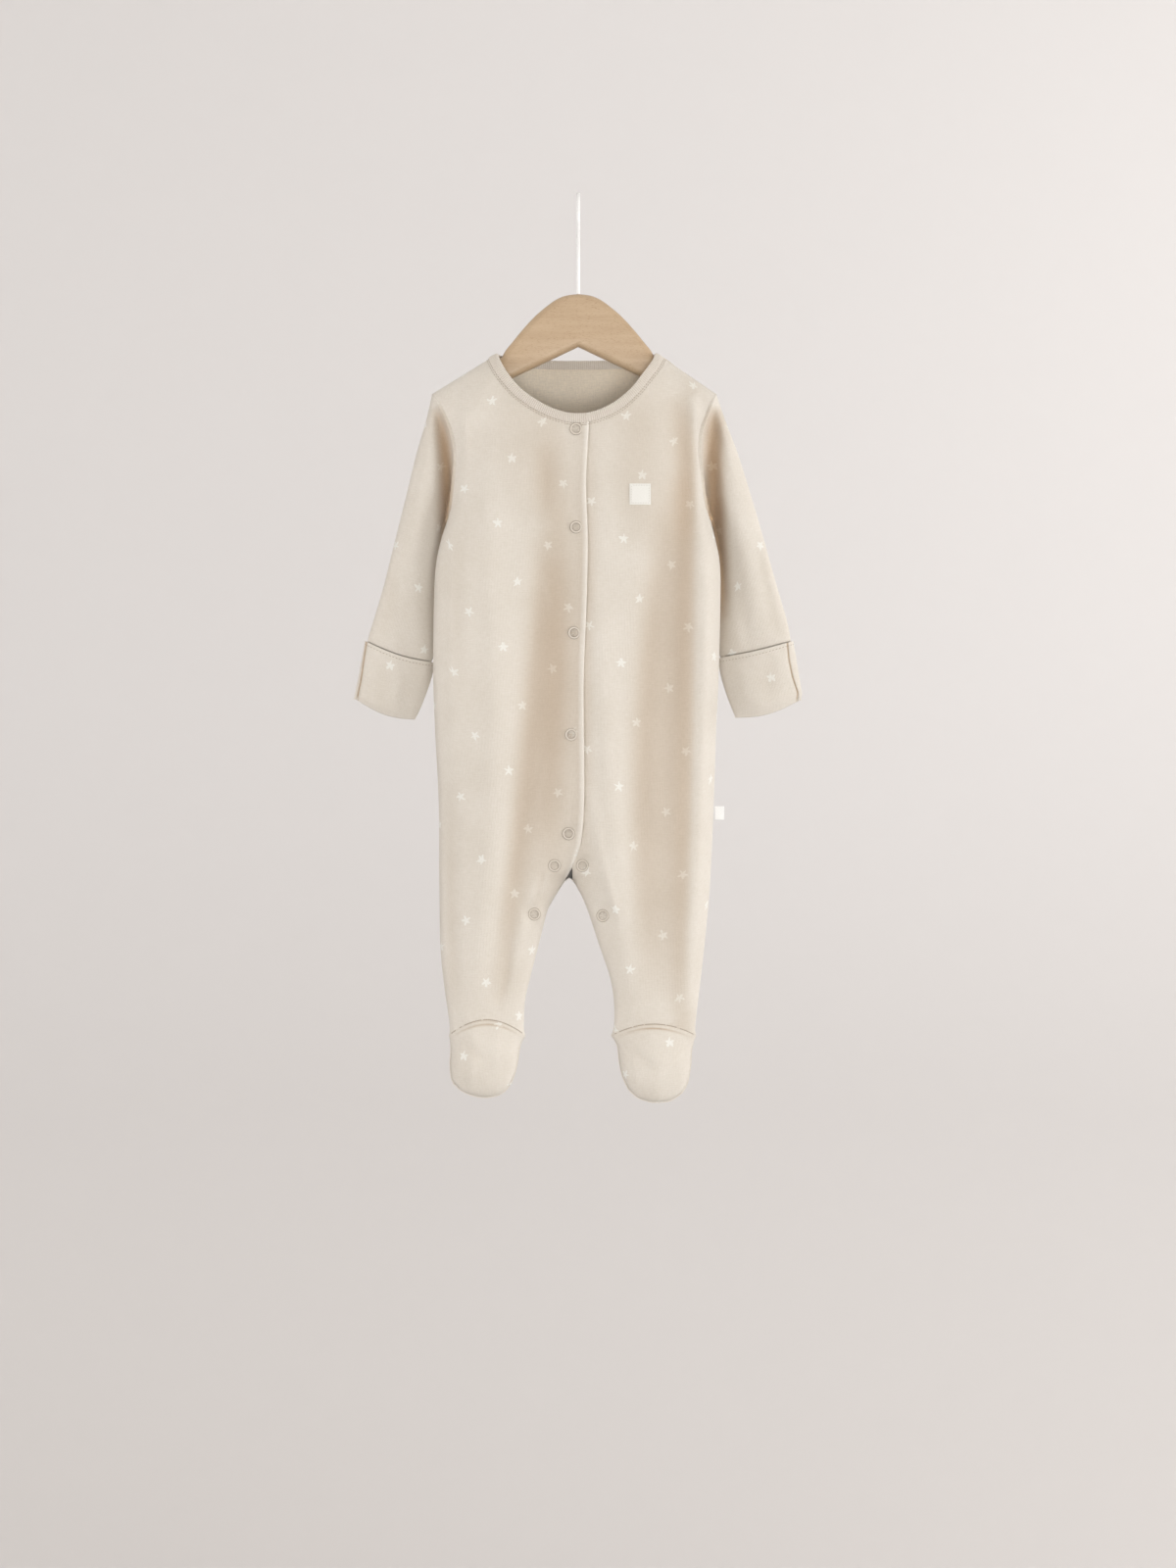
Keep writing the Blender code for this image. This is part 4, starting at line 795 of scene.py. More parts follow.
FRONT_FOLDS = [
    Fold(-70, 200, -62, 380, -74, 606, 10, 2.8),
    Fold(-26, 250, -42, 460, -62, 606, 10, -4.6),
    Fold(-16, 270, -22, 400, -34, 520, 12, -3),
    Fold(-83, 160, -88, 195, -90, 250, 6, 2.6),
    Fold(-50, 560, -55, 590, -61, 612, 3.5, -1.2),
    Fold(-28, 186, -25, 212, -26, 245, 7.5, -1.5),
    Fold(-95, 440, -94, 540, -92, 612, 5, -1.8),
    Fold(-27, 284, -24, 298, -20, 316, 2.4, 0.6),
    Fold(-21, 503, -24, 513, -27, 524, 2.2, 0.8),
    Fold(-29, 510, -33, 522, -36, 534, 2.4, 0.9),
    Fold(-25, 505, -28.5, 516, -31, 530, 2, -0.8),
    Fold(-37, 536, -43, 556, -50, 580, 4.5, 1.2),
    Fold(-60, 130, -72, 150, -80, 176, 7, 1),
    Fold(17, 300, 22, 430, 36, 596, 9, 2.6),
    Fold(72, 210, 50, 400, 55, 606, 12, -5),
    Fold(80, 205, 67, 400, 66, 606, 10, -3.6),
    Fold(93, 205, 95, 400, 82, 612, 7, 5),
    Fold(84, 150, 91, 180, 95, 240, 5, 3.6),
    Fold(70, 150, 77, 190, 79, 262, 9, -3),
    Fold(9, 440, 16, 490, 27, 540, 4, 1.8),
    Fold(17, 494, 23, 515, 31, 548, 2.6, 1),
    Fold(14, 512, 19, 526, 26, 552, 2.4, -0.8),
    Fold(12, 190, 22, 260, 14, 340, 9, 0.9),
    Fold(-86, 250, -90, 300, -88, 380, 5, -0.8),
    Fold(-88, 612, -72, 620, -54, 615, 3.5, 0.8),
    Fold(80, 608, 62, 618, 36, 612, 3.5, 0.8),
]
FRONT_PAINTED_SHADE = [                 # painted shade: hollows too shallow to bend the cloth, painted darker to look deeper
    Fold(-22, 140, -14, 330, -20, 560, 15, -4.2),
    Fold(84, 110, 80, 400, 76, 680, 9, -5.6),
    Fold(6, 150, 6, 330, 2, 540, 8, -3),
    Fold(95, 240, 97, 365, 95, 460, 4.5, -4.4),
    Fold(40, 130, 46, 190, 42, 270, 22, -2.6),
    Fold(-40, 130, -42, 185, -40, 250, 22, -1.6),
]
Snap = namedtuple("Snap", "on x drop")
SNAPS = [
    Snap(RIGHT, -1.5, 176.6),
    Snap(RIGHT, -1.5, 249.9),
    Snap(RIGHT, -2.9, 328.5),
    Snap(RIGHT, -5.1, 404.3),
    Snap(RIGHT, -7.1, 478.0),
    Snap(RIGHT, -17.6, 501.9),
    Snap(LEFT, 3.2, 501.9),
    Snap(RIGHT, -32.7, 538.2),
    Snap(LEFT, 18.4, 539.3),
]
SNAP_RADIUS = 4.75
SNAP_DENT = 0.45             # how deep a fastened snap pulls the cloth in
SNAP_FLAT = 7.4              # the cloth lies flat under a snap up to about here


def arch_over_foot(rise_by):
    """The ankle seam's height over a straight line, for shares of its width."""
    def arch(shares):
        return rise_by * np.sin(math.pi * shares) ** 0.8
    return arch


ANKLE_ARCH = {RIGHT: arch_over_foot(13.0), LEFT: arch_over_foot(9.8)}


def on_front(x, drop):
    depth = half_depth(x, drop, FRONT_FOLDS, 11.7)
    for snap in SNAPS:
        away = np.hypot(x - snap.x, drop - snap.drop)
        level = half_depth(np.array(snap.x), np.array(snap.drop), FRONT_FOLDS, 11.7) - SNAP_DENT
        depth = lerp(depth, level, np.exp(-(away / SNAP_FLAT) ** 4))
    depth = np.maximum(depth, SEAM_HALF_GAP)
    return placed(x, seam_plane(x, drop) - depth, drop)


def way_out(surface, x, drop, step=0.4):
    """Outward normals of a surface."""
    across = surface(x + step, drop) - surface(x - step, drop)
    down = surface(x, drop + step) - surface(x, drop - step)
    normals = np.cross(across, down)
    normals /= np.linalg.norm(normals, axis=-1, keepdims=True)
    return normals * np.where(normals[..., 1:2] > 0, -1.0, 1.0)


def under_lap(x, drop):
    """1 where the left front lies beneath the placket, 0 where it is clear of it."""
    beside = smooth((PLACKET_AT["over"](drop) + LAP_CLEAR + LAP_BLEND - x) / LAP_BLEND)
    return beside * (1 - smooth((drop - LAP_END_DROP) / LAP_END_BLEND))


def front_inner(side):
    """Where a front's rows end: the neckline, the placket edge, then the inseam."""
    name, tuck = ("over", PLACKET_ROLL) if side == RIGHT else ("under", 0.0)
    edge = neck_share_at(FRONT_NECK, PLACKET[0]._asdict()[name] - tuck)
    top = float(neck_at(FRONT_NECK, edge)[1])

    def edges(neck, placket, leg):
        neck_x, neck_drop, _, _ = neck_at(FRONT_NECK, lerp(0.0 if side == RIGHT else 1.0, edge, neck))
        placket_drop = lerp(top, CROTCH_DROP, placket)
        placket_x = PLACKET_AT[name](placket_drop) - tuck * (1 - smooth((placket - 0.9) / 0.1))
        leg_drop = lerp(CROTCH_DROP, ANKLE_DROP, leg)
        return (np.concatenate([neck_x, placket_x, inner_edge(side, leg_drop)]),
                np.concatenate([neck_drop, placket_drop, leg_drop]))
    return edges


def placket_fold(points, normals, cloth):
    """The rounded edge of the placket and the strip that returns behind it."""
    rows = slice(NECK_ROWS, NECK_ROWS + ARM_ROWS + BODY_ROWS + 1)
    edge, out = points[rows, -1], normals[rows, -1]
    down = np.gradient(edge, axis=0)
    ahead = np.cross(down, out)
    ahead /= np.linalg.norm(ahead, axis=-1, keepdims=True)
    ahead *= np.where(ahead[:, :1] < 0, -1.0, 1.0)
    radius = PLACKET_ROLL * (1 - 0.7 * smooth((np.linspace(0, 1, len(edge)) - 0.9) / 0.1))[:, None]
    strip, places = [edge], [0.0]
    for turn in np.linspace(0.0, math.pi, 9)[1:]:
        strip.append(edge + ahead * radius * math.sin(turn) - out * radius * (1 - math.cos(turn)))
        places.append(PLACKET_ROLL * turn)
    for reach in np.linspace(0.0, PLACKET_RETURN, 4)[1:]:
        strip.append(edge - ahead * reach - out * 2 * radius)
        places.append(PLACKET_ROLL * math.pi + reach)
    strip = np.stack(strip, axis=1)
    core = edge - out * radius - ahead * 0.2
    run = np.stack([np.array(places), np.zeros(len(places))], axis=-1)
    return strip, cloth[rows, -1:][:, [0] * len(places)] + run[None], core


def placket_painted_highlight(x, y, drop):
    """A painted highlight: the folded edge is painted paler."""
    rim = smooth(x - PLACKET_AT["over"](drop) + RIM_WIDTH)
    return -RIM_PAINTED_HIGHLIGHT * rim * (drop < LAP_END_DROP + LAP_END_BLEND)


right_x, right_drop = panel_places(RIGHT, front_inner(RIGHT), ANKLE_ARCH[RIGHT])
right_out = way_out(on_front, right_x, right_drop)
from_fold = (PLACKET_AT["over"](right_drop) - PLACKET_ROLL - PUFF_INSET - right_x) / PUFF_WIDTH
puff = PLACKET_PUFF * np.exp(-from_fold**2) * (1 - smooth((right_drop - LAP_END_DROP) / LAP_END_BLEND))
puff *= lerp(PUFF_TOP, 1.0, smooth((right_drop - PLACKET[0].drop) / PUFF_TOP_LENGTH))
puff *= lerp(1.0, PUFF_LOW, smooth((right_drop - PUFF_LOW_DROP) / PUFF_LOW_LENGTH))
right_points = on_front(right_x, right_drop) + right_out * puff[..., None]
right_print = cloth_map(on_front, right_points, FRONT_STAR[RIGHT], FRONT_LEAN[RIGHT])
front_right = sheet_object("suit_right_front", [(right_points, right_print, (0, -1, 0)),
                                                placket_fold(right_points, right_out, right_print)])

left_x, left_drop = panel_places(LEFT, front_inner(LEFT), ANKLE_ARCH[LEFT])
left_sink = LAP * under_lap(left_x, left_drop)
left_points = on_front(left_x, left_drop) - way_out(on_front, left_x, left_drop) * left_sink[..., None]
left_print = cloth_map(on_front, left_points, FRONT_STAR[LEFT], FRONT_LEAN[LEFT])
front_left = sheet_object("suit_left_front", [(left_points, left_print, (0, -1, 0))])

for front, node, rim in ((front_right, "front_right", placket_painted_highlight), (front_left, "front_left", None)):
    paint_light_and_shade(front, FRONT_FOLDS + FRONT_PAINTED_SHADE, deepest=6.2, most=0.9, line=rim)
    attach(front, "root")
    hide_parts(node)

# ---------------------------------------------------------------------------
# Neck binding. A strip of 1x1 rib folded over the raw neckline and coverstitched
# down. It starts on the placket's edge and ends beneath it.
# ---------------------------------------------------------------------------
RIB_PITCH = 1.5
RIB_HEIGHT = 0.3
RIB_WALL = 0.7
RIB_PROUD = 0.7              # outside of the binding over the cloth
RIB_BEHIND = 1.25            # its inside behind the cloth
RIB_BELLY = 0.25
RIB_OVERLAP = 0.9            # how far it covers the neckline's edge
RIB_SAMPLES = 4              # points along each rib
RIB_FACE_POINTS = 8          # points across the outside of the binding
RIB_FOLD_POINTS = 8          # points round its free edge
NECK_SAMPLES = 240
RIB_COLOR = JERSEY_COLOR
# darker yarn, and painted shade in the grooves between the ribs
RIB_SHADE = (0.520, 0.450, 0.370)


def make_rib_material():
    material, tree, shader = new_material("neck_rib")
    place = cloth_vector(tree)
    knit = knit_over(tree, place, RIB_PITCH)
    turns = math_node(tree, "MULTIPLY", split_xyz(tree, place)["X"], 2 * math.pi / RIB_PITCH)
    # painted shade: the grooves between the ribs are painted darker
    rib_groove_painted_shade = remap(tree, math_node(tree, "COSINE", turns), -1.0, 1.0, 0.5, 0.0)
    depth = math_node(tree, "MULTIPLY_ADD", knit["Shade"], 0.35, rib_groove_painted_shade, clamp=True)
    tree.links.new(mixed(tree, depth, RIB_COLOR, RIB_SHADE), shader.inputs["Base Color"])
    tree.links.new(remap(tree, knit["Shade"], 0.0, 1.0, 0.85, 0.95), shader.inputs["Roughness"])
    shader.inputs["Sheen Weight"].default_value = 0.2
    shader.inputs["Sheen Roughness"].default_value = 0.55
    shader.inputs["Specular IOR Level"].default_value = 0.18
    bump_on(tree, shader, knit["Height"], 0.0002)
    return material


def neckline(samples):
    """Points on the cloth's neck edge and on the rib's free edge, and the way out,
    from the placket's edge round the back to beneath the placket."""
    first = neck_share_at(FRONT_NECK, PLACKET[0].over)
    last = neck_share_at(FRONT_NECK, PLACKET[0].under)
    stretches = [(FRONT_NECK, on_front, lerp(first, 0.0, samples)), (BACK_NECK, on_back, samples[1:]),
                 (FRONT_NECK, on_front, lerp(1.0, last, samples)[1:])]
    low, high = [], []
    for rows, surface, shares in stretches:
        x, drop, rib_x, rib_drop = neck_at(rows, shares)
        low.append(surface(x, drop))
        high.append(surface(rib_x, rib_drop))
    low, high = np.concatenate(low), np.concatenate(high)
    ahead = np.gradient(low + high, axis=0)
    out = np.cross(high - low, ahead)
    out /= np.linalg.norm(out, axis=-1, keepdims=True)
    return low, high, out


def even_neckline(step):
    """The neckline with its points a step apart."""
    low, high, out = neckline(np.linspace(0.0, 1.0, NECK_SAMPLES))
    lengths = run_along((low + high) / 2)
    places = np.linspace(0.0, lengths[-1], int(lengths[-1] / step) + 1)
    low, high, out = [read_route(part, lengths, places) for part in (low, high, out)]
    out /= np.linalg.norm(out, axis=-1, keepdims=True)
    return places, low, high, out


def sink_under_placket(low, places):
    """How far the binding's last stretch lies behind its first one."""
    last_stretch = places > places[-1] * 0.6
    return np.where(last_stretch, LAP * under_lap(low[:, 0], PLACKET[0].drop), 0.0)


rib_places, rib_low, rib_high, rib_out = even_neckline(RIB_PITCH / RIB_SAMPLES)
rib_up = rib_high - rib_low
rib_width = np.linalg.norm(rib_up, axis=-1)[:, None]
rib_up = rib_up / rib_width
rib_sink = sink_under_placket(rib_low, rib_places)[:, None]
rib_fold = (RIB_PROUD + RIB_BEHIND) / 2
RibPoint = namedtuple("RibPoint", "reach height tilt lift")
rib_section = [RibPoint(lerp(-RIB_OVERLAP, rib_width - rib_fold, share),
                        RIB_PROUD + RIB_BELLY * math.sin(math.pi * share), 1.0, 0.0)
               for share in np.linspace(0.0, 1.0, RIB_FACE_POINTS)]
rib_section += [RibPoint(rib_width - rib_fold + rib_fold * math.sin(turn),
                         RIB_PROUD - rib_fold * (1 - math.cos(turn)), math.cos(turn), math.sin(turn))
                for turn in np.linspace(0.0, math.pi, RIB_FOLD_POINTS + 1)[1:]]
rib_section += [RibPoint(lerp(rib_width - rib_fold, -RIB_OVERLAP / 2, share),
                         RIB_PROUD - 2 * rib_fold, -1.0, 0.0) for share in (0.35, 0.7, 1.0)]
rib_wave = RIB_HEIGHT * np.cos(2 * math.pi * rib_places / RIB_PITCH)[:, None]
rib_points = np.stack([rib_low + rib_up * (at.reach + rib_wave * at.lift)
                       + rib_out * (at.height + rib_wave * at.tilt - rib_sink)
                       for at in rib_section], axis=1)
rib_runs = run_along(rib_points.swapaxes(0, 1)).mean(axis=1)
rib_cloth = np.stack(np.broadcast_arrays(rib_places[:, None], rib_runs[None]), axis=-1)
rib_core = rib_low + rib_up * (rib_width - rib_fold) / 2 + rib_out * (RIB_PROUD - rib_fold - rib_sink)
NECK_RIB = make_rib_material()
binding = sheet_object("neck_rib_binding", [(rib_points, rib_cloth, rib_core)], RIB_WALL, (NECK_RIB,))
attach(binding, "root")
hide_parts("neck_binding")

# ---------------------------------------------------------------------------
# Sleeves. Tubes of the same jersey, set into the armholes and hanging a little
# behind the body's sides.
# ---------------------------------------------------------------------------
RING_HALF = 80
SLEEVE_ROWS = 120
CUFF_SHARE = 0.87            # of a sleeve's length that lies above its mitt
CUFF_TUCK = 1.2              # how far it narrows where it goes into the mitt
CUFF_STEP = 1.3
SLEEVE_BLEND = 0.55          # share of its length over which the armhole's shape fades
SLEEVE_LEAN = 0.227          # the sleeves hang outwards by this angle

Ring = namedtuple("Ring", "out drop in_out in_drop depth out_back in_back bow")
SLEEVE = {
    RIGHT: [
        Ring(109.6, 148.6, 98.5, 243, 14, 0, 0, 0),
        Ring(114, 168, 99.8, 247.5, 15, 1, 8, 0),
        Ring(121.6, 194, 101.8, 257, 15.5, 2, 12.5, 0),
        Ring(129.6, 226.5, 104, 272, 15, 3, 14.5, 0),
        Ring(137.9, 259.5, 105.4, 291, 14, 4, 15, 0),
        Ring(146.4, 293.5, 106.2, 316, 12.5, 4, 14.5, 0),
        Ring(153.4, 317, 107.6, 338, 10.5, 4, 12.5, 1),
        Ring(157.6, 331, 110.8, 350.5, 8.6, 4, 10.5, 3),
        Ring(159, 341, 114, 360, 6.4, 4, 9.5, 3),
    ],
    LEFT: [
        Ring(103.7, 148.6, 100.1, 243.2, 14, 0, 0, 0),
        Ring(110, 167, 100.6, 247.5, 15, 1, 8, 0),
        Ring(120.2, 194, 102.2, 257, 15.5, 2, 12.5, 0),
        Ring(130.4, 226.5, 103.8, 272, 15, 3, 14.5, 0),
        Ring(140.1, 259.5, 104.4, 291, 14, 4, 15, 0),
        Ring(149.2, 292, 104.2, 314, 12.5, 4, 14.5, 0),
        Ring(156.2, 316, 104.8, 336, 10.5, 4, 12.5, 1),
        Ring(159.2, 330, 107.8, 348, 8.6, 4, 10.5, 1.5),
        Ring(160, 340, 111.5, 357, 6.4, 4, 9.5, 1.5),
    ],
}
SLEEVE_FOLDS = {
    RIGHT: [
        Fold(-107, 158, -99, 205, -103, 290, 6, -9),
        Fold(-116, 190, -119, 250, -124, 330, 7.5, 1.8),
        Fold(-108, 262, -110, 300, -116, 345, 5, -1.2),
        Fold(-138, 270, -140, 300, -146, 332, 6, -0.9),
    ],
    LEFT: [
        Fold(103, 158, 101.5, 210, 108, 320, 8, -9.5),
        Fold(112, 186, 121, 250, 134, 326, 8.5, 1.8),
        Fold(133, 252, 140, 290, 149, 330, 5, -1),
        Fold(112, 300, 118, 322, 124, 345, 5, 0.9),
    ],
}
# painted shade: a hollow painted darker beside the left underarm, with no bend in the cloth
SLEEVE_PAINTED_SHADE = {RIGHT: [], LEFT: [Fold(103, 225, 106.5, 285, 109, 350, 6, -4.5)]}


def tube_half(side, rows, t, toward, folds, blended, seed):
    """The front (toward -1) or back (toward 1) of rings at t, from the outer crease
    to the inner one."""
    out, drop, in_out, in_drop, depth, out_back, in_back, bow = [c[:, None] for c in along_table(rows, t)]
    across = (1 - np.cos(math.pi * np.linspace(0.0, 1.0, RING_HALF + 1)))[None, :] / 2
    place_x = side * lerp(out, in_out, across)
    place_drop = lerp(drop, in_drop, across) + bow * np.sin(math.pi * across)
    full = depth * rise(1 - np.abs(1 - 2 * across))
    away = 1.0
    if blended:
        blend = smooth(t / SLEEVE_BLEND)[:, None]
        hole_drop = lerp(SHOULDER_DROP, UNDERARM_DROP, across)
        hole_x = side_edge(side, hole_drop)
        tip, pit = side_edge(side, SHOULDER_DROP), side_edge(side, UNDERARM_DROP)
        place_x = place_x + (hole_x - lerp(tip, pit, across)) * (1 - blend)
        hole = half_depth(hole_x, hole_drop, None) * (1.0 if toward < 0 else BACK_FLATNESS)
        full = lerp(hole, full, blend)
        away = smooth(t[:, None] / 0.05)
    creases = fold_height(folds, place_x, place_drop)
    creases += 0.5 * ripple(place_x, place_drop * 0.5, 17.0, seed)
    creases += 0.2 * ripple(place_x, place_drop * 0.7, 7.0, seed + 3.0)
    full = full + creases * away * smooth((1 - np.abs(1 - 2 * across)) / 0.35)
    back = lerp(out_back, in_back, across)
    if blended:
        back = back - BODY_AT["seam_forward"](hole_drop) * (1 - blend)
    return placed(place_x, back + toward * np.maximum(full, SEAM_HALF_GAP), place_drop)


def tube_points(side, rows, t, folds, blended=False, seed=0.0):
    """Closed rings: along the front from the outer crease, and round the back to it."""
    behind = [fold._replace(x1=fold.x1 * 1.03, x2=fold.x2 * 0.98, drop2=fold.drop2 + 9.0)
              for fold in folds]
    front = tube_half(side, rows, t, -1, folds, blended, seed)
    back = tube_half(side, rows, t, 1, behind, blended, seed + 20.0)
    return np.concatenate([front, back[:, -2::-1]], axis=1)


def tube_map(side, points, anchor):
    """Place on a sleeve's flat cloth: its grain runs along the sleeve, and a star lies
    at the anchor (x, drop) on the front."""
    lean = -side * SLEEVE_LEAN
    x, y, drop = points[..., 0], points[..., 1], -points[..., 2]
    square = x * math.cos(lean) + drop * math.sin(lean)
    along = drop * math.cos(lean) - x * math.sin(lean)
    around = run_along(np.stack([square, y], axis=-1).swapaxes(0, 1)).T
    across = square[:, :1] - side * around
    front = slice(0, RING_HALF + 1)
    away = np.hypot(x[:, front] - anchor[0], drop[:, front] - anchor[1])
    i, j = np.unravel_index(np.argmin(away), away.shape)
    return np.stack([across - across[i, j], along - along[i, j]], axis=-1)


def core_of(points):
    """The middle of each ring of a tube."""
    return points[:, :-1].mean(axis=1)


def tucked_in(side, points):
    """Narrows a sleeve where it goes into its mitt."""
    edge = CUFF_EDGE[side]
    across = np.clip((edge.out - np.abs(points[..., 0])) / (edge.out - edge.in_out), 0.0, 1.0)
    above = lerp(edge.drop, edge.in_drop, across) + edge.bow * np.sin(math.pi * across) + points[..., 2]
    inward = CUFF_TUCK * smooth((CUFF_STEP - above) / CUFF_STEP)
    offset = points[..., 1] - core_of(points)[:, None, 1]
    points[..., 1] -= np.sign(offset) * inward * smooth(np.abs(offset) / 4.0)
    return points


WELT_HALF = 3.6              # the armhole's seam allowance lifts the cloth over this width
WELT_RISE = 1.2
WELT_SINK = 0.5
WELT_ROWS = 24               # rows of the sleeve that it can reach
WELT_END = 9.0               # it fades over this height at the shoulder and underarm


def armhole_welt(side, points, cloth):
    """A soft ridge laid over an armhole seam: from the body's side to the sleeve's."""
    seam_x, seam_drop = points[0, :, 0], -points[0, :, 2]
    toward = np.where(np.arange(len(seam_x)) <= RING_HALF, -1.0, 1.0)
    near = points[:WELT_ROWS]
    down_sleeve = run_along(near)
    ends = smooth(np.minimum(seam_drop - SHOULDER_DROP, UNDERARM_DROP - seam_drop) / WELT_END)
    rows, prints, cores = [], [], []
    for share in np.linspace(-1.0, 1.0, 11):
        if share <= 0:
            place_x = seam_x + side * share * WELT_HALF
            surfaces = [surface(place_x, seam_drop) for surface in (on_front, on_back)]
            base = np.where(toward[:, None] < 0, *surfaces)
        else:
            base = np.stack([read_route(near[:, j], down_sleeve[:, j], share * WELT_HALF)
                             for j in range(len(seam_x))])
        lift = lerp(-WELT_SINK, WELT_RISE, (1 + math.cos(math.pi * share)) / 2)
        lift = lerp(-WELT_SINK, lift, ends)
        rows.append(base + toward[:, None] * lift[:, None] * np.array([0.0, 1.0, 0.0]))
        prints.append(cloth[0] + np.array([0.0, share * WELT_HALF]))
        cores.append(points[0, :-1].mean(axis=0))
    return np.stack(rows), np.stack(prints), np.stack(cores)


SLEEVE_STAR = {RIGHT: (-105.1, 248.4), LEFT: (100.5, 202.1)}
CuffEdge = namedtuple("CuffEdge", "out drop in_out in_drop bow")
CUFF_EDGE = {RIGHT: CuffEdge(160.3, 333.6, 107.8, 349.8, 3),
             LEFT: CuffEdge(161.6, 333.6, 105, 346.4, 1.2)}
above_cuff = int(0.6 * SLEEVE_ROWS)
along = np.concatenate([np.linspace(0.0, CUFF_SHARE - 0.02, above_cuff),
                        np.linspace(CUFF_SHARE - 0.02, 0.93, SLEEVE_ROWS - above_cuff)[1:],
                        [0.95, 0.975, 1.0]])
for side, word in SIDES:
    sleeve_points = tube_points(side, SLEEVE[side], along, SLEEVE_FOLDS[side], True, 40.0 + side)
    sleeve_points = tucked_in(side, sleeve_points)
    sleeve_print = tube_map(side, sleeve_points, SLEEVE_STAR[side])
    sleeve = sheet_object("suit_sleeve_" + word, [(sleeve_points, sleeve_print, core_of(sleeve_points)),
                                                  armhole_welt(side, sleeve_points, sleeve_print)])
    paint_light_and_shade(sleeve, SLEEVE_FOLDS[side] + SLEEVE_PAINTED_SHADE[side], deepest=6.0, most=1.15)
    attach(sleeve, "root")
    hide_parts("sleeve_" + word)

# ---------------------------------------------------------------------------
# Scratch mitts. A flat pocket folded over each sleeve's end, hemmed at its open top
# edge. A seam runs down the outer side of its flap.
# ---------------------------------------------------------------------------
MITT_ROWS = 44
MITT_ROUND = 1.0             # how far the folded bottom bulges
FLAP_STEP = 0.8              # the flap stands this high beside its seam
FLAP_RIDGE = 1.2
HEM_WIDTH = 2.6
HEM_GROOVE = 0.28            # how deep the hem's stitches pull the cloth in
MITT = {
    RIGHT: [
        Ring(160.3, 333.6, 107.8, 349.8, 10.6, 4, 10.5, 3),
        Ring(162.3, 345, 110.6, 362, 9.6, 4, 10, 4),
        Ring(165, 360, 115.2, 375.5, 7.8, 4, 9.5, 4),
        Ring(167.3, 371, 119.8, 386.5, 5.4, 4, 9, 4.2),
        Ring(168.1, 375.6, 122.5, 391.6, 2.4, 4, 8.5, 4.4),
    ],
    LEFT: [
        Ring(161.6, 333.6, 105, 346.4, 10.6, 4, 10.5, 1.2),
        Ring(163.8, 346, 107.4, 360, 9.6, 4, 10, 2.4),
        Ring(166.2, 361, 111.6, 374, 7.8, 4, 9.5, 3.2),
        Ring(168.1, 372, 115.8, 385, 5.4, 4, 9, 3.8),
        Ring(167.4, 376.6, 118, 390.2, 2.4, 4, 8.5, 4.2),
    ],
}
MITT_FOLDS = {
    RIGHT: [
        Fold(-150, 345, -146, 362, -150, 380, 6, -0.9),
        Fold(-132, 350, -134, 368, -140, 384, 6, 0.9),
    ],
    LEFT: [
        Fold(120, 352, 126, 368, 134, 384, 6, 0.9),
        Fold(146, 345, 142, 362, 146, 378, 6, -0.9),
    ],
}
FlapSeam = namedtuple("FlapSeam", "inset drop")
FLAP_SEAM = {
    RIGHT: [FlapSeam(1.6, 333), FlapSeam(2, 350), FlapSeam(2.6, 365), FlapSeam(2.4, 376)],
    LEFT: [FlapSeam(4.9, 333), FlapSeam(6, 347), FlapSeam(5.4, 360), FlapSeam(3.2, 374)],
}
MITT_STAR = {RIGHT: (-141.1, 352.1), LEFT: (144.8, 360.9)}


def mitt_points(side):
    """Rings from the hemmed edge down, then round the folded bottom until it closes."""
    t = (1 - np.cos(math.pi / 2 * np.linspace(0.0, 1.0, MITT_ROWS + 1)))
    t = lerp(np.linspace(0.0, 1.0, MITT_ROWS + 1), t, 0.5)
    points = tube_points(side, MITT[side], t, MITT_FOLDS[side], False, 60.0 + side)
    edge = columns_of(FLAP_SEAM[side], "drop")["inset"]
    inside_flap = np.abs(points[:, :1, 0]) - np.abs(points[..., 0]) - edge(-points[..., 2])
    front = np.zeros(points.shape[1])
    front[:RING_HALF + 1] = 1.0
    step = FLAP_STEP * (1 - smooth(inside_flap / 0.7 + 0.5))
    step = step + FLAP_RIDGE * np.exp(-(inside_flap / 0.6) ** 2)
    full = smooth(np.abs(points[..., 1] - core_of(points)[:, None, 1]) / 2.5)
    points[..., 1] += step * front[None] * full
    hem = run_along(points)
    away = points - core_of(points)[:, None]
    away[..., 2] = 0
    away /= np.linalg.norm(away, axis=-1, keepdims=True) + 1e-6
    points = points - away * (HEM_GROOVE * np.exp(-((hem - HEM_WIDTH) / 0.6) ** 2))[..., None]
    rings = [points]
    last, lower = points[-1], points[-1] - points[-2]
    lower = lower.mean(axis=0) / np.linalg.norm(lower.mean(axis=0))
    flat = (last + last[::-1]) / 2
    for turn in np.linspace(0.0, math.pi / 2, 7)[1:]:
        rings.append((lerp(flat, last, math.cos(turn)) + lower * MITT_ROUND * math.sin(turn))[None])
    return np.concatenate(rings)


def flap_seam_painted_shade(side):
    """Painted shade in the hollow beside a mitt's flap seam."""
    def line(x, y, drop):
        outer = np.interp(drop, [ring.drop for ring in MITT[side]], [ring.out for ring in MITT[side]])
        seam = np.interp(drop, [row.drop for row in FLAP_SEAM[side]],
                         [row.inset for row in FLAP_SEAM[side]])
        return np.exp(-((outer - np.abs(x) - seam) / 0.8) ** 2) * (y < 4.0)
    return line


for side, word in SIDES:
    cuff_points = mitt_points(side)
    cuff_print = tube_map(side, cuff_points, MITT_STAR[side])
    mitt = sheet_object("suit_mitt_" + word, [(cuff_points, cuff_print, core_of(cuff_points))])
    paint_light_and_shade(mitt, MITT_FOLDS[side], deepest=9.0, line=flap_seam_painted_shade(side))
    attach(mitt, "root")
    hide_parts("mitt_" + word)

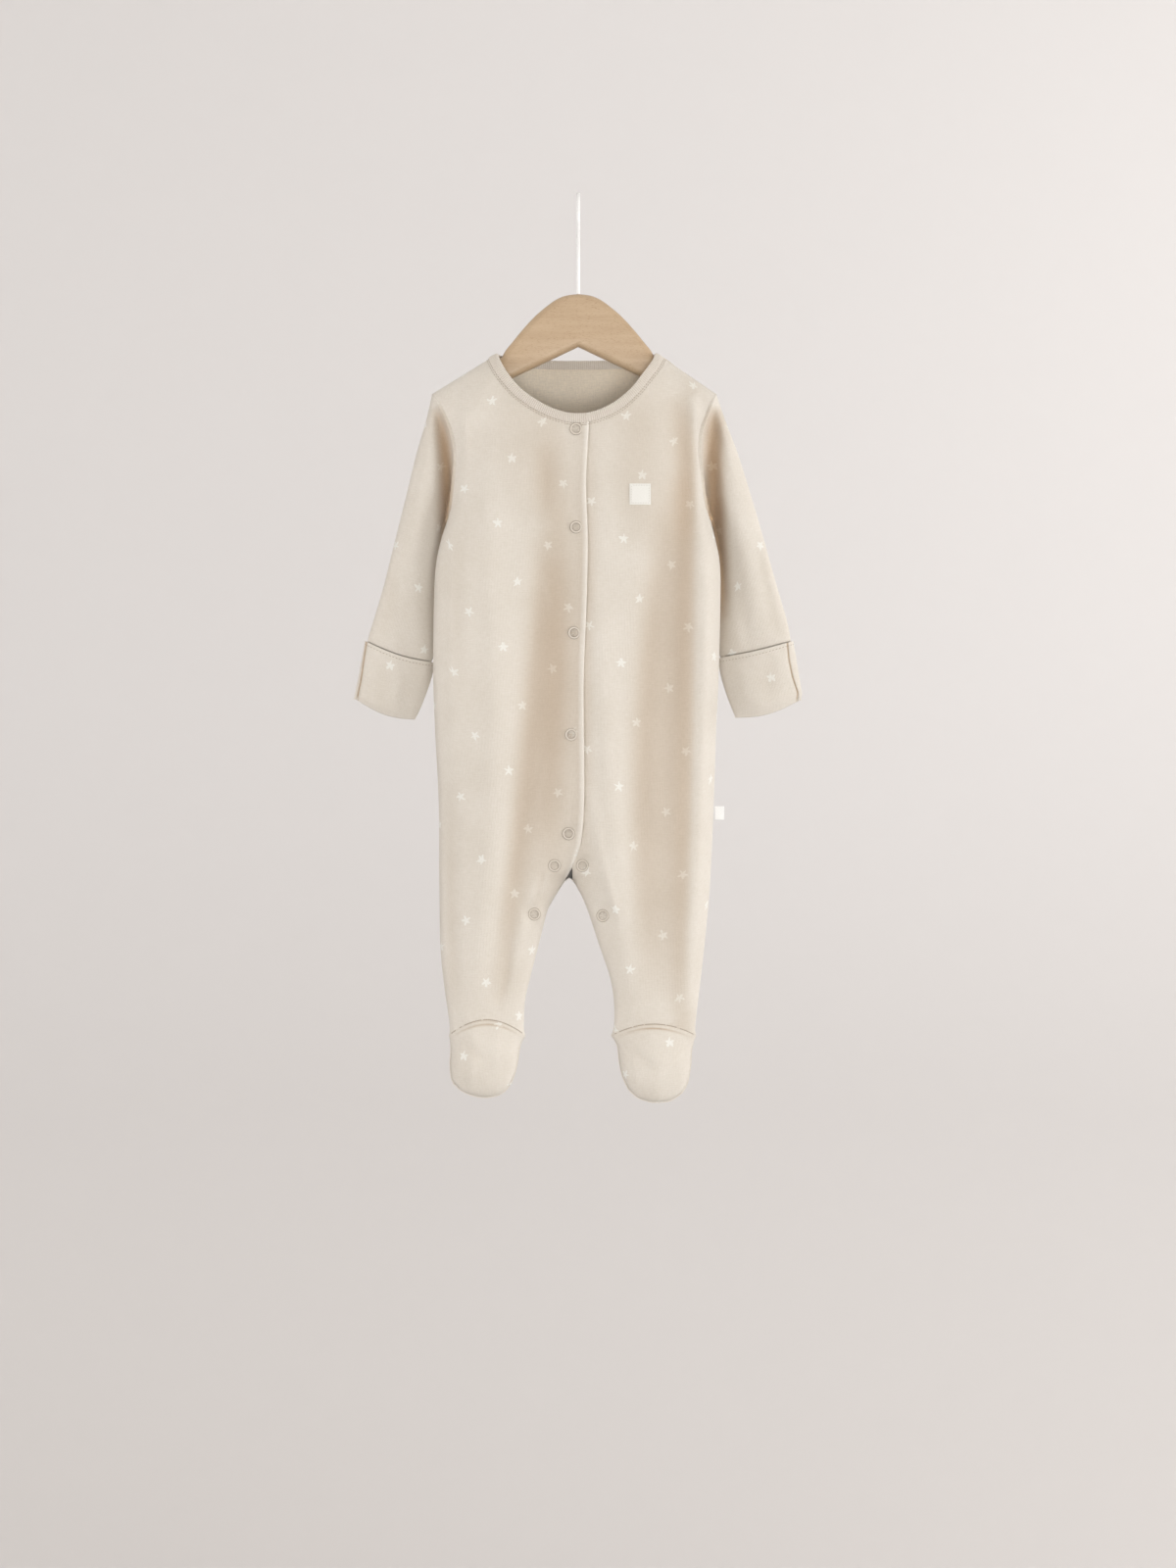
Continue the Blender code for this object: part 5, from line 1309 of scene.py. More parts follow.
# ---------------------------------------------------------------------------
# Feet. An upper, joined to the leg by the arched ankle seam, and a sole behind it.
# Seam allowances show through as a low band below the ankle seam.
# ---------------------------------------------------------------------------
FOOT_ACROSS, FOOT_DOWN = 56, 48
SEAM_GAP = 0.1
TOE_ROUND = 2.6
FOOT_PUFF = 0.28             # how much deeper the foot is than the ankle
TOE_FORWARD = 7.0            # the toes hang forward of the ankle
SOLE_FLATNESS = 0.8
SOLE_LIP = 0.8               # the sole's turned edge shows past the upper
BAND_WIDTH = 3.3
BAND_HEIGHT = 0.4
SEAM_GROOVE = 0.5            # how deep the ankle seam pulls the cloth in
BAND_GROOVE = 0.3
FOOT_RIPPLE = 0.6
FOOT_WIDTH, FOOT_LENGTH = 54.0, 40.0
FootSide = namedtuple("FootSide", "outer_x outer_drop inner_x inner_drop")
FootToe = namedtuple("FootToe", "x drop")
FOOT_SIDES = {
    RIGHT: [
        FootSide(-95.6, 631, -40.9, 630.4),
        FootSide(-95.2, 640.7, -44.2, 638),
        FootSide(-95.7, 650, -45.5, 647),
        FootSide(-95, 659.4, -47.6, 656.6),
        FootSide(-92.8, 664.8, -50.7, 664.1),
    ],
    LEFT: [
        FootSide(87.1, 631, 26.1, 630.4),
        FootSide(84.6, 640.7, 29.9, 638),
        FootSide(83.9, 651.7, 31, 648),
        FootSide(81.6, 664.1, 33.4, 659.3),
        FootSide(77.4, 671.6, 37.9, 668.7),
    ],
}
FOOT_TOE = {
    RIGHT: [
        FootToe(-92.8, 664.8),
        FootToe(-86.5, 670.3),
        FootToe(-78.7, 673.8),
        FootToe(-69.4, 675.2),
        FootToe(-60.6, 673.6),
        FootToe(-54.8, 669.9),
        FootToe(-50.7, 664.1),
    ],
    LEFT: [
        FootToe(77.4, 671.6),
        FootToe(69.4, 677.2),
        FootToe(61.2, 678.8),
        FootToe(54, 678.5),
        FootToe(45.6, 675.7),
        FootToe(41, 672.2),
        FootToe(37.9, 668.7),
    ],
}
FOOT_FOLDS = {
    RIGHT: [Fold(-86, 628, -80, 640, -70, 648, 4, -0.9),
            Fold(-56, 634, -60, 648, -72, 660, 5, 0.8)],
    LEFT: [Fold(38, 632, 46, 646, 60, 656, 5, -0.9),
           Fold(76, 636, 72, 652, 60, 664, 5, 0.8)],
}
FOOT_STAR = {RIGHT: (-85.3, 643.9), LEFT: (68.4, 633.8)}
FOOT_LEAN = 0.1


def foot_points(side, sole):
    """A patch between the ankle seam, both sides and the toe of a foot."""
    u = (1 - np.cos(math.pi * np.linspace(0.0, 1.0, FOOT_ACROSS + 1)))[None, :] / 2
    v = np.linspace(0.0, 1.0, FOOT_DOWN + 1)[:, None]
    v = lerp(v, np.sin(math.pi / 2 * v), 0.6)
    outer_x, outer_drop, inner_x, inner_drop = along_table(FOOT_SIDES[side], v)
    near_seam = (1 - v) ** 8
    outer_x = outer_x + (side_edge(side, ANKLE_DROP) - outer_x[0]) * near_seam
    inner_x = inner_x + (inner_edge(side, ANKLE_DROP) - inner_x[0]) * near_seam
    outer_drop = outer_drop + (ANKLE_DROP - outer_drop[0]) * near_seam
    inner_drop = inner_drop + (ANKLE_DROP - inner_drop[0]) * near_seam
    top_x = lerp(outer_x[0], inner_x[0], u)
    top_drop = lerp(outer_drop[0], inner_drop[0], u)
    if not sole:
        top_drop = top_drop - ANKLE_ARCH[side](u)
    toe_x, toe_drop = along_table(FOOT_TOE[side], u)
    x = (lerp(top_x, toe_x, v) + lerp(outer_x, inner_x, u)
         - lerp(lerp(outer_x[0], toe_x[0, 0], v), lerp(inner_x[0], toe_x[0, -1], v), u))
    drop = (lerp(top_drop, toe_drop, v) + lerp(outer_drop, inner_drop, u)
            - lerp(lerp(outer_drop[0], toe_drop[0, 0], v), lerp(inner_drop[0], toe_drop[0, -1], v), u))
    surface, toward = (on_back, 1) if sole else (on_front, -1)
    depth = np.abs(surface(top_x, np.minimum(top_drop, ANKLE_DROP))[..., 1])
    full = (1 - v**TOE_ROUND) ** (1 / TOE_ROUND) * (1 + FOOT_PUFF * np.sin(math.pi * v))
    depth = depth * full * lerp(1.0, SOLE_FLATNESS if sole else 1.0, smooth(v / 0.1))
    below = v * np.abs(toe_drop - top_drop)
    band = BAND_HEIGHT * (1 - smooth((below - BAND_WIDTH) / 0.9))
    band = band - SEAM_GROOVE * np.exp(-(below / 0.6) ** 2)
    band = band - BAND_GROOVE * np.exp(-((below - BAND_WIDTH) / 0.7) ** 2)
    creases = fold_height(FOOT_FOLDS[side], x, drop)
    creases += FOOT_RIPPLE * ripple(x, drop, 11.0, 80.0 + side + 5 * sole)
    within = smooth(np.minimum(np.minimum(u, 1 - u), 1 - v) / 0.16)
    depth = np.maximum(depth + (band + creases * smooth(v / 0.15)) * within, SEAM_GAP / 2)
    if sole:
        from_edge = np.minimum(np.minimum(u, 1 - u) * FOOT_WIDTH, (1 - v) * FOOT_LENGTH)
        near_edge = np.exp(-(from_edge / 2.0) ** 2) * smooth(v / 0.3)
        x = x + SOLE_LIP * near_edge * (2 * u - 1) * np.sign(inner_x[0] - outer_x[0])
        drop = drop + SOLE_LIP * near_edge * smooth((v - 0.6) / 0.4)
    return placed(x, -TOE_FORWARD * v**2 + toward * depth, drop + SEAM_GAP)


def foot_map(points, anchor, lean):
    """Place on a foot's flat cloth, measured over its rows and columns."""
    across, down = run_along(points[..., :2].swapaxes(0, 1)).T, run_along(points[..., 1:])
    away = np.hypot(points[..., 0] - anchor[0], points[..., 2] + anchor[1])
    i, j = np.unravel_index(np.argmin(away), away.shape)
    toward = np.sign(points[:, -1:, 0] - points[:, :1, 0])
    across = (across - across[:, j:j + 1]) * toward + points[:, j:j + 1, 0]
    across, down = across - anchor[0], down - down[i:i + 1] - points[i:i + 1, :, 2] - anchor[1]
    return np.stack([across * math.cos(lean) - down * math.sin(lean),
                     across * math.sin(lean) + down * math.cos(lean)], axis=-1)


def ankle_painted_shade_lines(side):
    """Two arched lines of painted shade on an upper: in the ankle seam, and at the end of its allowance.
    """
    def line(x, y, drop):
        outer, inner = side_edge(side, ANKLE_DROP), inner_edge(side, ANKLE_DROP)
        share = np.clip((x - outer) / (inner - outer), 0.0, 1.0)
        below = drop - ANKLE_DROP + ANKLE_ARCH[side](share)
        lines = 0.9 * np.exp(-((below - BAND_WIDTH) / 0.9) ** 2) + 0.7 * np.exp(-(below / 0.8) ** 2)
        return lines * np.sin(math.pi * share)
    return line


for side, word in SIDES:
    for sole, kind in ((False, "foot_upper"), (True, "sole")):
        foot = foot_points(side, sole)
        print_map = foot_map(foot, FOOT_STAR[side], side * FOOT_LEAN)
        shell = sheet_object("suit_%s_%s" % (kind, word), [(foot, print_map, (0, 1 if sole else -1, 0))])
        lines = None if sole else ankle_painted_shade_lines(side)
        paint_light_and_shade(shell, FOOT_FOLDS[side], deepest=9.0, line=lines)
        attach(shell, "root")
        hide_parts("%s_%s" % (kind, word))

# ---------------------------------------------------------------------------
# Stitching. Coverstitch rows beside the neck binding and along the mitts' hems, and a
# thick row on each ankle seam, in thread darker than the cloth, its darkness partly
# painted shade standing in for the shadowed stitch holes.
# ---------------------------------------------------------------------------
# dark thread, partly painted shade for the shadowed stitch holes
THREAD_COLOR = (0.330, 0.265, 0.200)
THREAD_LIGHT = (0.480, 0.410, 0.335)
STITCH_LENGTH = 1.5
STITCH_PITCH = 2.3
STITCH_RADIUS = 0.26
HEM_PITCH = 2.6
SEAM_PITCH = 1.5             # the ankle seam's thick stitches nearly touch
SEAM_STITCH = 2.4
SEAM_STITCH_RADIUS = 0.36


def make_thread_material(name, color, light):
    material, tree, shader = new_material(name)
    twist = noise_node(tree, object_place(tree), 2600.0, 2.0)
    tree.links.new(mixed(tree, twist, color, light), shader.inputs["Base Color"])
    shader.inputs["Roughness"].default_value = 0.75
    return material


def cloth_tree(*sheets):
    """Reads the outside of finished cloth pieces, in millimetres."""
    graph = bpy.context.evaluated_depsgraph_get()
    vertices, faces = [], []
    for sheet in sheets:
        mesh = sheet.evaluated_get(graph).to_mesh()
        first = len(vertices)
        vertices.extend(vertex.co / MM for vertex in mesh.vertices)
        faces.extend([first + index for index in polygon.vertices] for polygon in mesh.polygons)
    return BVHTree.FromPolygons(vertices, faces)


def select_only(*pieces):
    bpy.ops.object.select_all(action="DESELECT")
    for piece in pieces:
        piece.select_set(True)
    bpy.context.view_layer.objects.active = pieces[0]


def stitch_model(length=STITCH_LENGTH, radius=STITCH_RADIUS):
    """One stitch: a short capsule of thread along X, at the origin."""
    bpy.ops.mesh.primitive_uv_sphere_add(segments=8, ring_count=6, radius=radius * MM)
    stitch = bpy.context.object
    stitch.scale = (length / 2 / radius, 1.0, 0.8)
    bpy.ops.object.transform_apply(location=False, rotation=False, scale=True)
    return stitch


def joined_copies(model, frames, name, material):
    """Copies of a model at frames (place, ahead, out), joined into one object."""
    copies = []
    for place, ahead, out in frames:
        copy = bpy.data.objects.new(name, model.data.copy())
        ahead = Vector(ahead).normalized()
        out = (Vector(out) - ahead * ahead.dot(Vector(out))).normalized()
        side = out.cross(ahead)
        turned = Matrix((ahead, side, out)).transposed().to_4x4()
        copy.matrix_world = Matrix.Translation(Vector(place) * MM) @ turned
        bpy.context.scene.collection.objects.link(copy)
        copies.append(copy)
    bpy.data.objects.remove(model)
    select_only(*copies)
    bpy.ops.object.join()
    bpy.ops.object.transform_apply(location=True, rotation=True, scale=True)
    whole = bpy.context.object
    whole.name = name
    whole.data.materials.clear()
    whole.data.materials.append(material)
    whole.data.shade_smooth()
    return whole


def stitch_frames(route, out, tree, pitch=STITCH_PITCH):
    """Stitches along a route of points, seated on the cloth that lies beneath it."""
    lengths = run_along(route)
    frames = []
    for place in np.arange(pitch, lengths[-1] - pitch, pitch):
        point = Vector(read_route(route, lengths, place))
        ahead = Vector(read_route(route, lengths, place + 0.5)) - point
        away = Vector(read_route(out, lengths, place)).normalized()
        hit, _, _, _ = tree.ray_cast(point + away * 6.0, -away, 14.0)
        if hit is not None:
            frames.append((hit + away * 0.04, ahead, away))
    return frames


THREAD = make_thread_material("stitching_thread", THREAD_COLOR, THREAD_LIGHT)
STITCH_OUTSIDE = 1.7         # from the binding's edge to the row on the cloth
neck_cloth = cloth_tree(back, front_right, front_left, binding)
neck_rows = []
for place_across in (-RIB_OVERLAP - STITCH_OUTSIDE, -RIB_OVERLAP - 0.25):
    neck_rows += stitch_frames(rib_low + rib_up * place_across, rib_out, neck_cloth)
neck_stitching = joined_copies(stitch_model(), neck_rows, "neck_stitching", THREAD)
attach(neck_stitching, "root")

hem_rows = []
for side, word in SIDES:
    rings = mitt_points(side)
    mitt_tree = cloth_tree(bpy.data.objects["suit_mitt_" + word])
    row = int(np.argmin(np.abs(run_along(rings).mean(axis=1) - HEM_WIDTH)))
    hem_rows += stitch_frames(rings[row], rings[row] - core_of(rings)[row], mitt_tree, HEM_PITCH)
hem_stitching = joined_copies(stitch_model(), hem_rows, "mitt_hem_stitching", THREAD)
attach(hem_stitching, "root")

ankle_rows = []
for side, word in SIDES:
    share = np.linspace(0.03, 0.97, 60)
    seam_x = lerp(side_edge(side, ANKLE_DROP), inner_edge(side, ANKLE_DROP), share)
    seam_drop = ANKLE_DROP - ANKLE_ARCH[side](share)
    ankle_tree = cloth_tree(bpy.data.objects["suit_foot_upper_" + word],
                            bpy.data.objects["suit_%s_front" % word])
    ankle_rows += stitch_frames(on_front(seam_x, seam_drop), way_out(on_front, seam_x, seam_drop),
                                ankle_tree, SEAM_PITCH)
ankle_stitching = joined_copies(stitch_model(SEAM_STITCH, SEAM_STITCH_RADIUS), ankle_rows,
                                "ankle_seam_stitching", THREAD)
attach(ankle_stitching, "root")

# ---------------------------------------------------------------------------
# Ring snaps. Open prong rings in the cloth's colour, clenched through the placket,
# with the cloth and the tips of the prongs showing inside.
# ---------------------------------------------------------------------------
SNAP_COLOR = (0.575, 0.515, 0.445)
# painted shade at the ring's edges, where they meet the cloth
SNAP_EDGE_PAINTED_SHADE = (0.240, 0.190, 0.140)
SNAP_HOLE = 2.85
SNAP_RISE = 0.6
PRONGS = 5
PRONG_RADIUS = 0.5
PRONG_OUT = 1.75             # from the snap's middle to a prong's


def make_snap_material():
    material, tree, shader = new_material("painted_snap")
    wear = noise_node(tree, object_place(tree), 900.0, 2.0)
    paint = mixed(tree, remap(tree, wear, 0.35, 0.7), SNAP_COLOR, JERSEY_SHADE)
    # painted shade: the ring darkens towards its edges
    edge = remap(tree, vertex_value(tree, "edge"), 0.55, 0.9, 0.0, 0.9, True)
    tree.links.new(mixed(tree, edge, paint, SNAP_EDGE_PAINTED_SHADE), shader.inputs["Base Color"])
    tree.links.new(remap(tree, wear, 0.0, 1.0, 0.38, 0.55), shader.inputs["Roughness"])
    return material


def snap_model():
    """A flattened ring with five short prong tips leaning in, facing +Z."""
    middle = (SNAP_RADIUS + SNAP_HOLE) / 2
    tube = (SNAP_RADIUS - SNAP_HOLE) / 2
    bpy.ops.mesh.primitive_torus_add(major_radius=middle * MM, minor_radius=tube * MM,
                                     major_segments=48, minor_segments=12)
    ring = bpy.context.object
    ring.scale = (1.0, 1.0, SNAP_RISE / tube)
    bpy.ops.object.transform_apply(location=False, rotation=False, scale=True)
    # how near each point lies to the ring's edges, where the painted shade goes
    rim = ring.data.attributes.new("edge", "FLOAT", "POINT")
    for vertex, value in zip(ring.data.vertices, rim.data):
        value.value = abs(math.hypot(vertex.co.x, vertex.co.y) / MM - middle) / tube
    pieces = [ring]
    for k in range(PRONGS):
        turn = 2 * math.pi * k / PRONGS
        bpy.ops.mesh.primitive_uv_sphere_add(segments=10, ring_count=6, radius=PRONG_RADIUS * MM)
        prong = bpy.context.object
        prong.scale = (2.2, 0.8, 0.7)
        prong.rotation_euler = (0.0, 0.0, turn)
        prong.location = (PRONG_OUT * MM * math.cos(turn), PRONG_OUT * MM * math.sin(turn), 0.0)
        pieces.append(prong)
    select_only(*pieces)
    bpy.ops.object.join()
    bpy.ops.object.transform_apply(location=True, rotation=True, scale=True)
    return bpy.context.object


SNAP_METAL = make_snap_material()
snap_tree = {RIGHT: cloth_tree(front_right), LEFT: cloth_tree(front_left)}
for number, snap in enumerate(SNAPS, start=1):
    around = []
    for turn in range(8):
        x = snap.x + 0.9 * SNAP_RADIUS * math.cos(turn * math.pi / 4)
        drop = snap.drop + 0.9 * SNAP_RADIUS * math.sin(turn * math.pi / 4)
        around.append(snap_tree[snap.on].ray_cast(Vector((x, -100.0, -drop)), Vector((0, 1, 0)))[0])
    centre = sum(around, Vector()) / 8
    out = sum(((around[k] - centre).cross(around[(k + 1) % 8] - centre) for k in range(8)), Vector())
    out = out.normalized() * (-1 if out.y > 0 else 1)
    centre += out * 0.7 * max((point - centre).dot(out) for point in around)
    seat = (centre + out * 0.12, Vector((1, 0, 0)), out)
    ring = joined_copies(snap_model(), [seat], "ring_snap_%d" % number, SNAP_METAL)
    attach(ring, "root")
    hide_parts("snap_%d" % number)

# ---------------------------------------------------------------------------
# Chest patch. A small woven square, bare, sewn on round its edge.
# ---------------------------------------------------------------------------
PATCH_CENTRE = (46.1, 225.4)
PATCH_SIZE = 15.7
PATCH_LIFT = 0.75
PATCH_WALL = 0.45
PATCH_STITCH_IN = 1.3        # from its edge to its row of stitches
PATCH_STITCH_PITCH = 1.9
PATCH_COLOR = (0.820, 0.805, 0.755)
PATCH_SHADE = (0.720, 0.700, 0.650)
PATCH_THREAD = (0.560, 0.525, 0.470)
THREADS_PER_MM = 2.4


def make_patch_material():
    """Plain weave: thin warp and weft threads that pass over each other."""
    material, tree, shader = new_material("woven_patch")
    place = cloth_vector(tree)
    waves = [math_node(tree, "SINE", math_node(tree, "MULTIPLY", split_xyz(tree, place)[axis],
                                               math.pi * THREADS_PER_MM)) for axis in "XY"]
    weave = math_node(tree, "MULTIPLY", *waves)
    uneven = noise_node(tree, place, 1.4, 3.0)
    mottle = remap(tree, uneven, 0.3, 0.7, 0.1, 0.6)
    shade = math_node(tree, "MULTIPLY_ADD", weave, 0.2, mottle, clamp=True)
    tree.links.new(mixed(tree, shade, PATCH_COLOR, PATCH_SHADE), shader.inputs["Base Color"])
    tree.links.new(remap(tree, uneven, 0.0, 1.0, 0.7, 0.85), shader.inputs["Roughness"])
    bump_on(tree, shader, weave, 0.00012)
    return material


patch_steps = np.linspace(-0.5, 0.5, 29)
patch_x, patch_drop = np.meshgrid(*(middle + PATCH_SIZE * patch_steps for middle in PATCH_CENTRE))
from_middle = np.maximum(np.abs(patch_steps)[:, None], np.abs(patch_steps)[None, :])
to_edge = PATCH_SIZE * (0.5 - from_middle)
patch_lift = PATCH_LIFT - 0.3 * np.exp(-(to_edge / 0.5) ** 2)
patch_lift -= 0.18 * np.exp(-((to_edge - PATCH_STITCH_IN) / 0.4) ** 2)
patch_out = way_out(on_front, patch_x, patch_drop)
patch_points = on_front(patch_x, patch_drop) + patch_out * patch_lift[..., None]
patch_map = np.stack([patch_x, patch_drop], axis=-1)
patch = sheet_object("woven_chest_patch", [(patch_points, patch_map, (0, -1, 0))], PATCH_WALL,
                     (make_patch_material(),))
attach(patch, "root")
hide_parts("chest_patch")
patch_half = PATCH_SIZE / 2 - PATCH_STITCH_IN
corners = [(-1, -1), (1, -1), (1, 1), (-1, 1), (-1, -1)]
patch_route = []
for corner, following in zip(corners[:-1], corners[1:]):
    for t in np.linspace(0.0, 1.0, 12)[:-1]:
        patch_route.append([middle + patch_half * lerp(a, b, t)
                            for middle, a, b in zip(PATCH_CENTRE, corner, following)])
route_x, route_drop = np.array(patch_route + patch_route[:3]).T
patch_frames = stitch_frames(on_front(route_x, route_drop), way_out(on_front, route_x, route_drop),
                             cloth_tree(patch), PATCH_STITCH_PITCH)
patch_thread = make_thread_material("patch_thread", PATCH_SHADE, PATCH_THREAD)
patch_stitching = joined_copies(stitch_model(), patch_frames, "patch_stitching", patch_thread)
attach(patch_stitching, "root")

# ---------------------------------------------------------------------------
# Side label. A white ribbon, bare, folded in two and caught in the left side seam.
# ---------------------------------------------------------------------------
LABEL_DROP = (457.6, 467.7)
LABEL_OUT = (102.6, 109.5)
LABEL_GAP = 0.36             # between the middle and each layer of the ribbon
RIBBON_WALL = 0.22
WEFTS_PER_MM = 2.2
RIBBON_COLOR = (0.930, 0.925, 0.905)
RIBBON_SHADE = (0.820, 0.815, 0.790)


def make_ribbon_material():
    material, tree, shader = new_material("label_ribbon")
    place = cloth_vector(tree)
    turns = math_node(tree, "MULTIPLY", split_xyz(tree, place)["Y"], 2 * math.pi * WEFTS_PER_MM)
    weft = math_node(tree, "SINE", turns)
    uneven = noise_node(tree, place, 1.1, 3.0)
    mottle = remap(tree, uneven, 0.3, 0.7, 0.0, 0.5)
    shade = math_node(tree, "MULTIPLY_ADD", weft, 0.12, mottle, clamp=True)
    tree.links.new(mixed(tree, shade, RIBBON_COLOR, RIBBON_SHADE), shader.inputs["Base Color"])
    tree.links.new(remap(tree, uneven, 0.0, 1.0, 0.42, 0.6), shader.inputs["Roughness"])
    shader.inputs["Sheen Weight"].default_value = 0.15
    bump_on(tree, shader, weft, 0.00008)
    return material


label_seam_y = float(seam_plane(np.array(side_edge(LEFT, 462.0)), 462.0))
label_fold_out = LABEL_OUT[1] - LABEL_GAP
label_section = [(x, -LABEL_GAP - 0.15 * math.sin(math.pi * t)) for t, x in
                 ((t, lerp(LABEL_OUT[0], label_fold_out, t)) for t in np.linspace(0.0, 1.0, 10))]
label_section += [(label_fold_out + LABEL_GAP * math.sin(turn), -LABEL_GAP * math.cos(turn))
                  for turn in np.linspace(0.0, math.pi, 9)[1:-1]]
label_section += [(x, -y) for x, y in label_section[9::-1]]
label_section = np.array(label_section)
label_rows = np.linspace(*LABEL_DROP, 16)[:, None]
label_bend = 0.5 * np.sin((label_rows - LABEL_DROP[0]) * 0.3) * (label_section[:, 0] - LABEL_OUT[0]) / 7.0
label_points = placed(label_section[:, 0], label_seam_y + label_section[:, 1] + label_bend,
                      label_rows + 0.02 * (label_section[:, 0] - LABEL_OUT[0]))
label_map = np.stack(np.broadcast_arrays(run_along(label_section)[None, :], label_rows), axis=-1)
label = sheet_object("ribbon_side_label", [(label_points, label_map, label_points.mean(axis=1))],
                     RIBBON_WALL, (make_ribbon_material(),))
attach(label, "root")
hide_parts("side_label")

# ---------------------------------------------------------------------------
# Hanger board. One flat piece of beech, its edges rounded, bored for the hook and
# finished with a thin matt lacquer.
# ---------------------------------------------------------------------------
BOARD_THICKNESS = 12.0
BOARD_ROUND = 5.0
BOARD_SEAT = 2.05            # cloth line to the top of the board, square to the shoulder
CROWN_OUT = [0.0, 9.0, 16.0, 24.0, 33.0, 43.0, 50.5, 54.5, 57.4]
CROWN_DROP = [73.5, 74.7, 77.4, 83.0, 90.8, 101.8, 111.0, 115.9, 121.2]
ARM_START = 66.5             # the arms' straight tops run from here out
ARM_END = 96.0
ARM_HEIGHT = 16.0
NOTCH_DROP = 113.2           # point of the notch under the crown
NOTCH_OUT = 48.0
NOTCH_FOOT_DROP = 136.0
WIRE_RADIUS = 1.4
BORE_RADIUS = WIRE_RADIUS + 0.35
BORE_DEPTH = 12.0
BEECH_COLOR = (0.540, 0.400, 0.260)
BEECH_DARK = (0.380, 0.255, 0.145)


def make_beech_material():
    """Grain along the board, with the short dark flecks of beech."""
    material, tree, shader = new_material("lacquered_beech")
    body = object_place(tree)
    grain = noise_node(tree, stretched(tree, body, (14.0, 160.0, 160.0)), 1.0, 4.0, 0.6)
    fine = noise_node(tree, stretched(tree, body, (60.0, 1400.0, 1400.0)), 1.0, 2.0)
    fleck = noise_node(tree, stretched(tree, body, (420.0, 3200.0, 3200.0)), 1.0, 0.0)
    flecks = remap(tree, fleck, 0.66, 0.72, 0.0, 0.6)
    shade = math_node(tree, "MULTIPLY_ADD", fine, 0.25, remap(tree, grain, 0.3, 0.75, 0.0, 0.5))
    shade = math_node(tree, "ADD", shade, flecks, clamp=True)
    tree.links.new(mixed(tree, shade, BEECH_COLOR, BEECH_DARK), shader.inputs["Base Color"])
    tree.links.new(remap(tree, grain, 0.0, 1.0, 0.38, 0.52), shader.inputs["Roughness"])
    shader.inputs["Coat Weight"].default_value = 0.12
    shader.inputs["Coat Roughness"].default_value = 0.35
    bump_on(tree, shader, math_node(tree, "ADD", fine, flecks), 0.00005, 0.4)
    return material


def board_outline():
    """The board's outline in (x, z), clockwise from the middle of the crown."""
    halves = []
    for side in (RIGHT, LEFT):
        tip_out, tip_drop = abs(side_edge(side, SHOULDER_DROP)), SHOULDER_DROP
        neck = BACK_NECK[0] if side == RIGHT else BACK_NECK[-1]
        slope = (tip_drop - neck.rib_drop) / (tip_out - abs(neck.rib_x))
        square = math.hypot(1.0, slope)

        def arm_top(out):
            return neck.rib_drop + slope * (out - abs(neck.rib_x)) + BOARD_SEAT * square

        crown = columns_of([Neck(a, b, 0.0, 0.0) for a, b in zip(CROWN_OUT, CROWN_DROP)], "x")["drop"]
        half = [(out, float(crown(out))) for out in np.linspace(0.0, CROWN_OUT[-1], 40)]
        half += [(out, arm_top(out)) for out in np.linspace(ARM_START, ARM_END, 4)]
        radius = ARM_HEIGHT / 2
        middle = (ARM_END - radius * slope / square, arm_top(ARM_END) + radius / square)
        for turn in math.atan2(1.0, slope) - np.linspace(0.0, math.pi, 20)[1:]:
            half.append((middle[0] + radius * math.cos(turn), middle[1] - radius * math.sin(turn)))
        end = half[-1]
        half += [(lerp(end[0], NOTCH_OUT, t), lerp(end[1], NOTCH_FOOT_DROP, t))
                 for t in (0.33, 0.66, 1.0)]
        half.append((NOTCH_OUT / 2, (NOTCH_DROP + NOTCH_FOOT_DROP) / 2))
        halves.append([(side * out, -drop) for out, drop in half])
    right, left = halves
    return left + [(0.0, -NOTCH_DROP)] + right[:0:-1]


def piece_from_curve(name, curve, route, closed, turned=(0.0, 0.0, 0.0)):
    """A mesh piece from a curve through a route of (x, y, z) points."""
    spline = curve.splines.new("POLY")
    spline.points.add(len(route) - 1)
    for point, (x, y, z) in zip(spline.points, route):
        point.co = (x * MM, y * MM, z * MM, 1.0)
    spline.use_cyclic_u = closed
    piece = bpy.data.objects.new(name, curve)
    bpy.context.scene.collection.objects.link(piece)
    piece.rotation_euler = turned
    select_only(piece)
    bpy.ops.object.convert(target="MESH")
    bpy.ops.object.transform_apply(location=True, rotation=True, scale=True)
    return bpy.context.object


outline_curve = bpy.data.curves.new("board", "CURVE")
outline_curve.dimensions = "2D"
outline_curve.fill_mode = "BOTH"
outline_curve.extrude = (BOARD_THICKNESS / 2 - BOARD_ROUND) * MM
outline_curve.bevel_depth = BOARD_ROUND * MM
outline_curve.bevel_resolution = 6
outline_curve.offset = -BOARD_ROUND * MM
board = piece_from_curve("beech_hanger_board", outline_curve, [(x, z, 0.0) for x, z in board_outline()],
                         True, (math.pi / 2, 0.0, 0.0))
bpy.ops.object.mode_set(mode="EDIT")
bpy.ops.mesh.select_all(action="SELECT")
bpy.ops.mesh.remove_doubles(threshold=1e-6)
bpy.ops.object.mode_set(mode="OBJECT")
bpy.ops.mesh.primitive_cylinder_add(vertices=40, radius=BORE_RADIUS * MM, depth=2 * BORE_DEPTH * MM,
                                    location=(0.0, 0.0, -CROWN_DROP[0] * MM))
drill = bpy.context.object
bore = board.modifiers.new("bore", "BOOLEAN")
bore.operation = "DIFFERENCE"
bore.object = drill
select_only(board)
bpy.ops.object.modifier_apply(modifier="bore")
bpy.data.objects.remove(drill)
bpy.ops.object.shade_smooth_by_angle(angle=math.radians(40))
board.data.materials.clear()
board.data.materials.append(make_beech_material())
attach(board, "root")
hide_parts("hanger_body")

